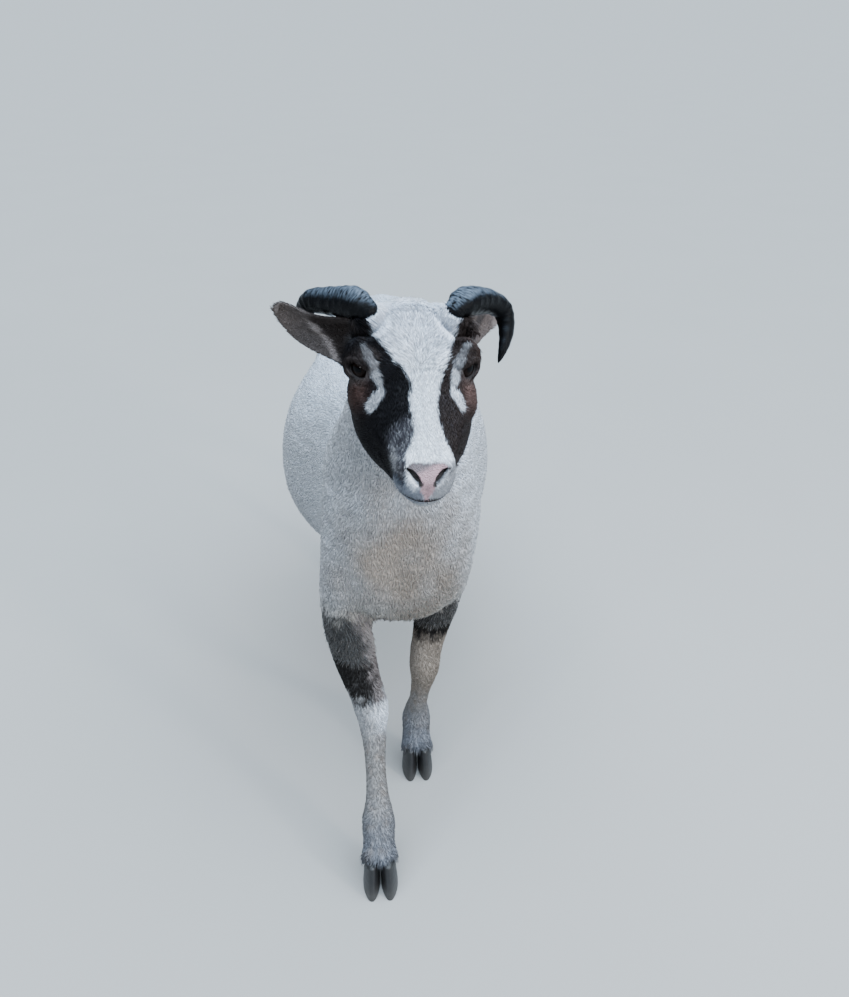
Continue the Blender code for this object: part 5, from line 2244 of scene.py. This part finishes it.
@dataclass
class HornFinish(Finish):
    """Blue-black horn, blue-grey between its rings along the top: partly wear, partly a painted sky
    reflection on the faces that look up.
    """

    dark: tuple = (0.0030, 0.0033, 0.0040, 1)
    worn_and_sky_grey: tuple = (0.125, 0.160, 0.210, 1)

    def build(self, mottle: bpy.types.NodeTree) -> bpy.types.Material:
        """Makes the material. The growth attribute runs from 0 at the foot to 1 at the tip.

        Args:
            mottle: the shared cloudiness.

        Returns:
            The material.
        """
        made, tree, shader = self.start()
        growth, turn = tree.attribute("growth"), tree.attribute("round")
        rings = tree.vector(tree.times(growth, 120.0), tree.times(turn, 6.0))
        lines = tree.noise(rings, 1.0, 3)
        grain = tree.noise(tree.vector(tree.times(growth, 5.0), tree.times(turn, 60.0)), 1.0)
        # Wear on the ring ridges, with a painted sky reflection, on the faces that look up and most
        # near the foot
        foot = tree.times(tree.minus(1.15, growth), tree.attribute("weathered"))
        edge = tree.times(tree.minus(lines, 0.36), 4.0)
        wear_and_sky_reflection = tree.add("ShaderNodeClamp", {0: tree.times(edge, foot)}).outputs[0]
        colour = tree.mix(wear_and_sky_reflection, self.dark, self.worn_and_sky_grey)
        self.paint(tree, shader, mottle, colour, 90, 0.7)
        tree.feed(shader["Roughness"], tree.plus(tree.times(wear_and_sky_reflection, 0.22), 0.24))
        self.bump(tree, shader, tree.plus(lines, tree.times(grain, 0.5)), 0.0006)
        return made


@dataclass
class HoofFinish(Finish):
    """Dark hoof, banded along its height and dusty at the ground."""

    dark: tuple = (0.010, 0.010, 0.011, 1)
    dusty: tuple = (0.07, 0.065, 0.06, 1)
    dust_height: float = 0.026
    squash: tuple = (60, 60, 620)

    def build(self, mottle: bpy.types.NodeTree) -> bpy.types.Material:
        """Makes the material from heights over the floor.

        Args:
            mottle: the shared cloudiness.

        Returns:
            The material.
        """
        made, tree, shader = self.start()
        where = tree.place()
        height = tree.add("ShaderNodeSeparateXYZ", {0: where}).outputs[2]
        squashed = tree.add("ShaderNodeMapping", {"Scale": self.squash, "Vector": where})
        bands = tree.noise(squashed.outputs[0], 1.0, 3)
        dust = tree.times(tree.step(height, self.dust_height, 0.0), bands)
        self.paint(tree, shader, mottle, tree.mix(dust, self.dark, self.dusty), 120, 0.6)
        self.bump(tree, shader, bands, 0.0006)
        return made


@dataclass
class EyeFinish(Finish):
    """A dark brown eye with a level, oblong pupil and a ring at the iris's edge."""

    iris: tuple = (0.004, 0.0022, 0.0018, 1)
    amber: tuple = (0.009, 0.0045, 0.003, 1)
    rim: tuple = (0.006, 0.004, 0.004, 1)
    white: tuple = (0.022, 0.015, 0.013, 1)
    pupil: tuple = (0.0015, 0.0015, 0.002, 1)
    pupil_size: tuple = (0.40, 0.17)

    def build(self, mottle: bpy.types.NodeTree) -> bpy.types.Material:
        """Makes the material. The gaze attribute is a place along, across and out of the eye.

        Args:
            mottle: the shared cloudiness.

        Returns:
            The material.
        """
        made, tree, shader = self.start()
        gaze = tree.add("ShaderNodeSeparateXYZ", {0: tree.attribute("gaze", "Vector")})
        along, across = gaze.outputs[:2]
        reach = tree.maths("SQRT", tree.plus(tree.times(along, along), tree.times(across, across)))
        angle = tree.maths("ARCTAN2", across, along)
        turns = [tree.times(tree.maths(way, angle), 14.0) for way in ("SINE", "COSINE")]
        rays = tree.noise(tree.vector(*turns, tree.times(reach, 3.0)), 1.0, 4)
        colour = tree.mix(rays, self.iris, self.amber)
        colour = tree.mix(tree.step(reach, 0.60, 0.72), colour, self.rim)
        colour = tree.mix(tree.step(reach, 0.76, 0.86), colour, self.white)
        powers = []
        for way, half in zip((along, across), self.pupil_size):
            share = tree.maths("ABSOLUTE", tree.maths("DIVIDE", way, half))
            powers.append(tree.maths("POWER", share, 4.0))
        colour = tree.mix(tree.step(tree.plus(*powers), 1.15, 0.85), colour, self.pupil)
        self.paint(tree, shader, mottle, colour, 300, 0.4)
        return made


@dataclass
class FloorFinish(Finish):
    """A pale, plain studio floor."""

    pale: tuple = (0.36, 0.355, 0.345, 1)

    def build(self, mottle: bpy.types.NodeTree) -> bpy.types.Material:
        """Makes the material with a faint cloudiness.

        Args:
            mottle: the shared cloudiness.

        Returns:
            The material.
        """
        made, tree, shader = self.start()
        self.paint(tree, shader, mottle, self.pale, 3, 0.05)
        return made


# Eyes, hoofs and dewclaws


@dataclass
class Eye:
    """An eyeball with a raised cornea, and the place of each point as the eye sees it."""

    side: int
    radius: float = EYEBALL_RADIUS
    cornea: float = 0.0008

    def build(self) -> bpy.types.Object:
        """Makes the eyeball.

        Returns:
            The object, with the attribute that its finish reads.
        """
        centre, looks = (np.array(part) for part in eye_axes(self.side)[:2])
        ball = ellipsoid(Vector(centre), (self.radius,) * 3, HEAD.turn(), 64)
        ball.name = "eyeball_left" if self.side > 0 else "eyeball_right"
        out = unit(points_of(ball) - centre)
        facing = out @ looks
        bulge = self.cornea * ramp(facing, 0.62, 0.90)
        set_points(ball, centre + out * (self.radius + bulge)[:, None])
        level = np.array((0.0, 0.0, 1.0))
        tall = level - looks * (level @ looks)
        tall /= np.linalg.norm(tall)
        wide = np.cross(tall, looks)
        gaze = np.stack([out @ wide, out @ tall, facing], axis=1)
        gaze[:, :2] *= np.where(facing > 0, 1.0, 9.0)[:, None]
        write_attribute(ball, "gaze", gaze)
        shade_smooth(ball)
        return ball


@dataclass
class Hoof:
    """One hoof: two claws from flat soles to the coronet, and two dewclaws behind."""

    leg: str
    coronet: tuple
    fetlock: tuple
    length: float = 0.054
    width: float = 0.0210
    heel: float = 0.022
    cleft: float = 0.0011
    growth: tuple = (0.0002, 0.0042)
    hidden: float = 0.004
    dewclaw: tuple = ((0.0, 0.0052), (0.35, 0.0050), (0.75, 0.0034), (1.0, 0.0010))
    rows: tuple = (
        # height, share of the length, share of the width
        (0.0, 0.995, 0.975),
        (0.0018, 1.0, 1.0),
        (0.012, 0.93, 0.98),
        (0.026, 0.80, 0.92),
        (0.044, 0.62, 0.84),
    )

    def claw(self, side: int, inner: bool) -> bpy.types.Object:
        """Makes one claw, cut off under the hair line.

        Args:
            side: -1 for her right, 1 for her left.
            inner: whether it is the claw next to the other legs.

        Returns:
            The object.
        """
        x, y, z = self.coronet
        heel = y + self.heel
        rings = []
        for height, reach, spread in smooth_rows(self.rows, 5):
            ring = []
            for angle in circle(40):
                along, out = math.cos(angle), math.sin(angle)
                wide = self.width / 2 * spread * (1 - 0.28 * max(0.0, along) ** 2)
                ring_out = self.growth[0] * math.sin(height * 2 * math.pi / self.growth[1])
                back = heel - self.length * 0.5 * (1 + along * reach) + (1 - reach) * 0.010
                swell = math.copysign(abs(out) ** 0.8, out)
                across = self.cleft + self.width / 2 * spread + (wide + ring_out) * swell
                place = Vector((x + side * across, back, max(height, 0.0)))
                ring.append(place + Vector((SHOULDER.x, SHOULDER.y, 0)))
            rings.append(ring)
        name = f"{self.leg}_claw_{'inner' if inner else 'outer'}_horn"
        claw = loft(name, rings)
        slope = Vector((0, self.coronet[1] - self.fetlock[1], z - self.fetlock[2])).normalized()
        cut = Vector((x, y, z)) + SHOULDER - slope * self.hidden
        cut.z = z - slope.z * self.hidden
        boolean(claw, half_space(cut, slope), Way.KEEP)
        shade_smooth(claw)
        return claw

    def dewclaws(self) -> list:
        """Makes the two small dewclaws behind the fetlock.

        Returns:
            The two objects.
        """
        x, y, z = self.fetlock
        made = []
        for side in SIDES:
            rings = []
            for share, size in self.dewclaw:
                middle = Vector((x + side * (0.0085 + 0.002 * share), y + 0.0195, z))
                middle += Vector((SHOULDER.x, SHOULDER.y + 0.006 * share, 0.002 - 0.014 * share))
                ring = [Vector((size * math.cos(k), size * 0.8 * math.sin(k), 0)) for k in circle(16)]
                rings.append([middle + point for point in ring])
            made.append(loft("dewclaw", rings))
        return made


@dataclass
class Hoofs:
    """The four hoofs, each where its leg meets the floor."""

    seats: tuple = (
        # leg, coronet and fetlock from the shoulder
        ("fore_leg_right", (-0.034, -0.198, 0.035), (-0.034, -0.164, 0.074)),
        ("fore_leg_left", (0.025, -0.010, 0.034), (0.026, 0.017, 0.074)),
        ("hind_leg_right", (-0.062, 0.468, 0.034), (-0.062, 0.496, 0.076)),
        ("hind_leg_left", (0.060, 0.564, 0.034), (0.060, 0.590, 0.077)),
    )

    def build(self) -> list:
        """Makes all claws and dewclaws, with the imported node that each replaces.

        Returns:
            Pairs of an object and a node's name, or None where none is replaced.
        """
        made, small = [], []
        for leg, coronet, fetlock in self.seats:
            hoof = Hoof(leg, coronet, fetlock)
            for side in SIDES:
                inner = side * coronet[0] < 0
                node = f"{leg}_claw_{'inner' if inner else 'outer'}"
                made.append((hoof.claw(side, inner), node))
            small += hoof.dewclaws()
        dewclaws = joined("dewclaws", small)
        shade_smooth(dewclaws)
        made.append((dewclaws, None))
        return made


# Floor, light and camera


@dataclass(frozen=True)
class Lamp:
    """One soft round light that points at the ewe."""

    name: str
    place: tuple
    size: float
    power: float
    colour: tuple
    target: tuple = (0, 0, 0.45)

    def build(self) -> None:
        """Makes the light."""
        data = bpy.data.lights.new(self.name, "AREA")
        data.shape = "DISK"
        data.size = self.size
        data.energy = self.power
        data.color = self.colour
        lamp = bpy.data.objects.new(self.name, data)
        lamp.location = self.place
        aim = Vector(self.target) - lamp.location
        lamp.rotation_euler = aim.to_track_quat("-Z", "Y").to_euler()
        bpy.context.scene.collection.objects.link(lamp)


@dataclass(frozen=True)
class Ceiling:
    """The broad soft light from above, which lights the whole floor alike."""

    way: tuple = (0.14, -0.16, 1.0)
    spread: float = math.radians(85)
    power: float = 9.5
    colour: tuple = (0.72, 0.86, 1.0)

    def build(self) -> None:
        """Makes the light."""
        data = bpy.data.lights.new("ceiling", "SUN")
        data.angle = self.spread
        data.energy = self.power
        data.color = self.colour
        lamp = bpy.data.objects.new("ceiling", data)
        lamp.rotation_euler = Vector(self.way).to_track_quat("Z", "Y").to_euler()
        bpy.context.scene.collection.objects.link(lamp)


@dataclass(frozen=True)
class Studio:
    """The floor, the soft light and the camera, which looks down at her face."""

    ceiling: Ceiling = Ceiling()
    lamps: tuple = (
        Lamp("window", (-1.75, -1.9, 1.25), 0.32, 12, (0.92, 0.96, 1.0)),
        Lamp("fill", (2.0, -1.9, 1.25), 0.40, 42, (1.0, 0.97, 0.94)),
    )
    world: tuple = (0.80, 0.86, 0.93)
    world_strength: float = 0.24
    eye: tuple = (-0.026, -0.90, 0.985)
    pitch: float = math.radians(30.5)
    heading: float = math.radians(4)
    lens: float = 30.69
    sensor: float = 36
    floor_reach: float = 3000

    def build(self, floor_finish: bpy.types.Material) -> None:
        """Makes floor, lights, world and camera.

        Args:
            floor_finish: the floor's material.
        """
        made = bmesh.new()
        bmesh.ops.create_grid(made, x_segments=4, y_segments=4, size=self.floor_reach)
        floor = from_bmesh("floor", made)
        floor.data.materials.append(floor_finish)
        for lamp in (self.ceiling, *self.lamps):
            lamp.build()
        world = bpy.data.worlds.new("studio")
        world.use_nodes = True
        back = world.node_tree.nodes["Background"]
        back.inputs["Color"].default_value = (*self.world, 1)
        back.inputs["Strength"].default_value = self.world_strength
        bpy.context.scene.world = world
        data = bpy.data.cameras.new("camera")
        data.lens = self.lens
        data.sensor_width = self.sensor
        data.clip_start = 0.01
        camera = bpy.data.objects.new("camera", data)
        camera.location = SHOULDER + Vector(self.eye)
        camera.rotation_euler = (math.pi / 2 - self.pitch, 0, -self.heading)
        bpy.context.scene.collection.objects.link(camera)
        bpy.context.scene.camera = camera


def settle(piece: bpy.types.Object, finish: bpy.types.Material) -> None:
    """Gives a piece its material and slot, lets it ride on the ewe and reports it.

    Args:
        piece: the piece.
        finish: its material.
    """
    piece.data.materials.clear()
    piece.data.materials.append(finish)
    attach(piece, BODY)
    faces = sum(len(face.vertices) - 2 for face in piece.data.polygons)
    LOG.info("%s: %d triangles", piece.name, faces)


def main() -> None:
    """Builds the ewe, the studio and the camera."""
    logging.basicConfig(level=logging.INFO, format="%(message)s")
    effects = Effects()
    fade, mottle = effects.fade(), effects.mottle()
    hair = {
        Slot.WOOL: HairFinish("wool", 0.9, {"Sheen Weight": 0.25}, 0.30, 0.20).build(fade),
        Slot.FACE: HairFinish("face_hair", 0.60, {"Specular IOR Level": 0.12}, 0.20, 0.18).build(fade),
        Slot.LEG: HairFinish("leg_hair", 0.65, {"Specular IOR Level": 0.14}, 0.35, 0.30).build(fade),
    }
    Studio().build(FloorFinish("floor", 0.75).build(mottle))
    ears = [Ear(side) for side in SIDES]
    horns = [Horn(side) for side in SIDES]
    horn_finish = HornFinish("horn", 0.35, {"Specular IOR Level": 0.07}).build(mottle)
    for horn in horns:
        piece = horn.build()
        settle(piece, horn_finish)
        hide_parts("horn_left" if horn.side > 0 else "horn_right")
    eye_finish = EyeFinish("eye", 0.04, {"Specular IOR Level": 0.06}).build(mottle)
    for side in SIDES:
        piece = Eye(side).build()
        settle(piece, eye_finish)
        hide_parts("eye_left" if side > 0 else "eye_right")
    hoof_finish = HoofFinish("hoof", 0.45).build(mottle)
    for piece, node in Hoofs().build():
        settle(piece, hoof_finish)
        if node:
            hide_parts(node)
    skin = Skin().build(ears)
    marks = Markings(ears, horns)
    marks.read(points_of(skin), normals_of(skin))
    write_attribute(skin, "coat", marks.colours())
    write_attribute(skin, "leather", marks.nose())
    pieces = Coat().grow(skin, marks, hair)
    for attribute in list(skin.data.attributes):
        if attribute.name.startswith(("hair_", "wool_", "lie", "length", "width", "unwrap")):
            skin.data.attributes.remove(attribute)
    settle(skin, SkinFinish("skin", 0.85).build(mottle))
    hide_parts(*Skin.flesh)
    for piece, slot in pieces:
        settle(piece, hair[slot])


if __name__ == "__main__":
    main()
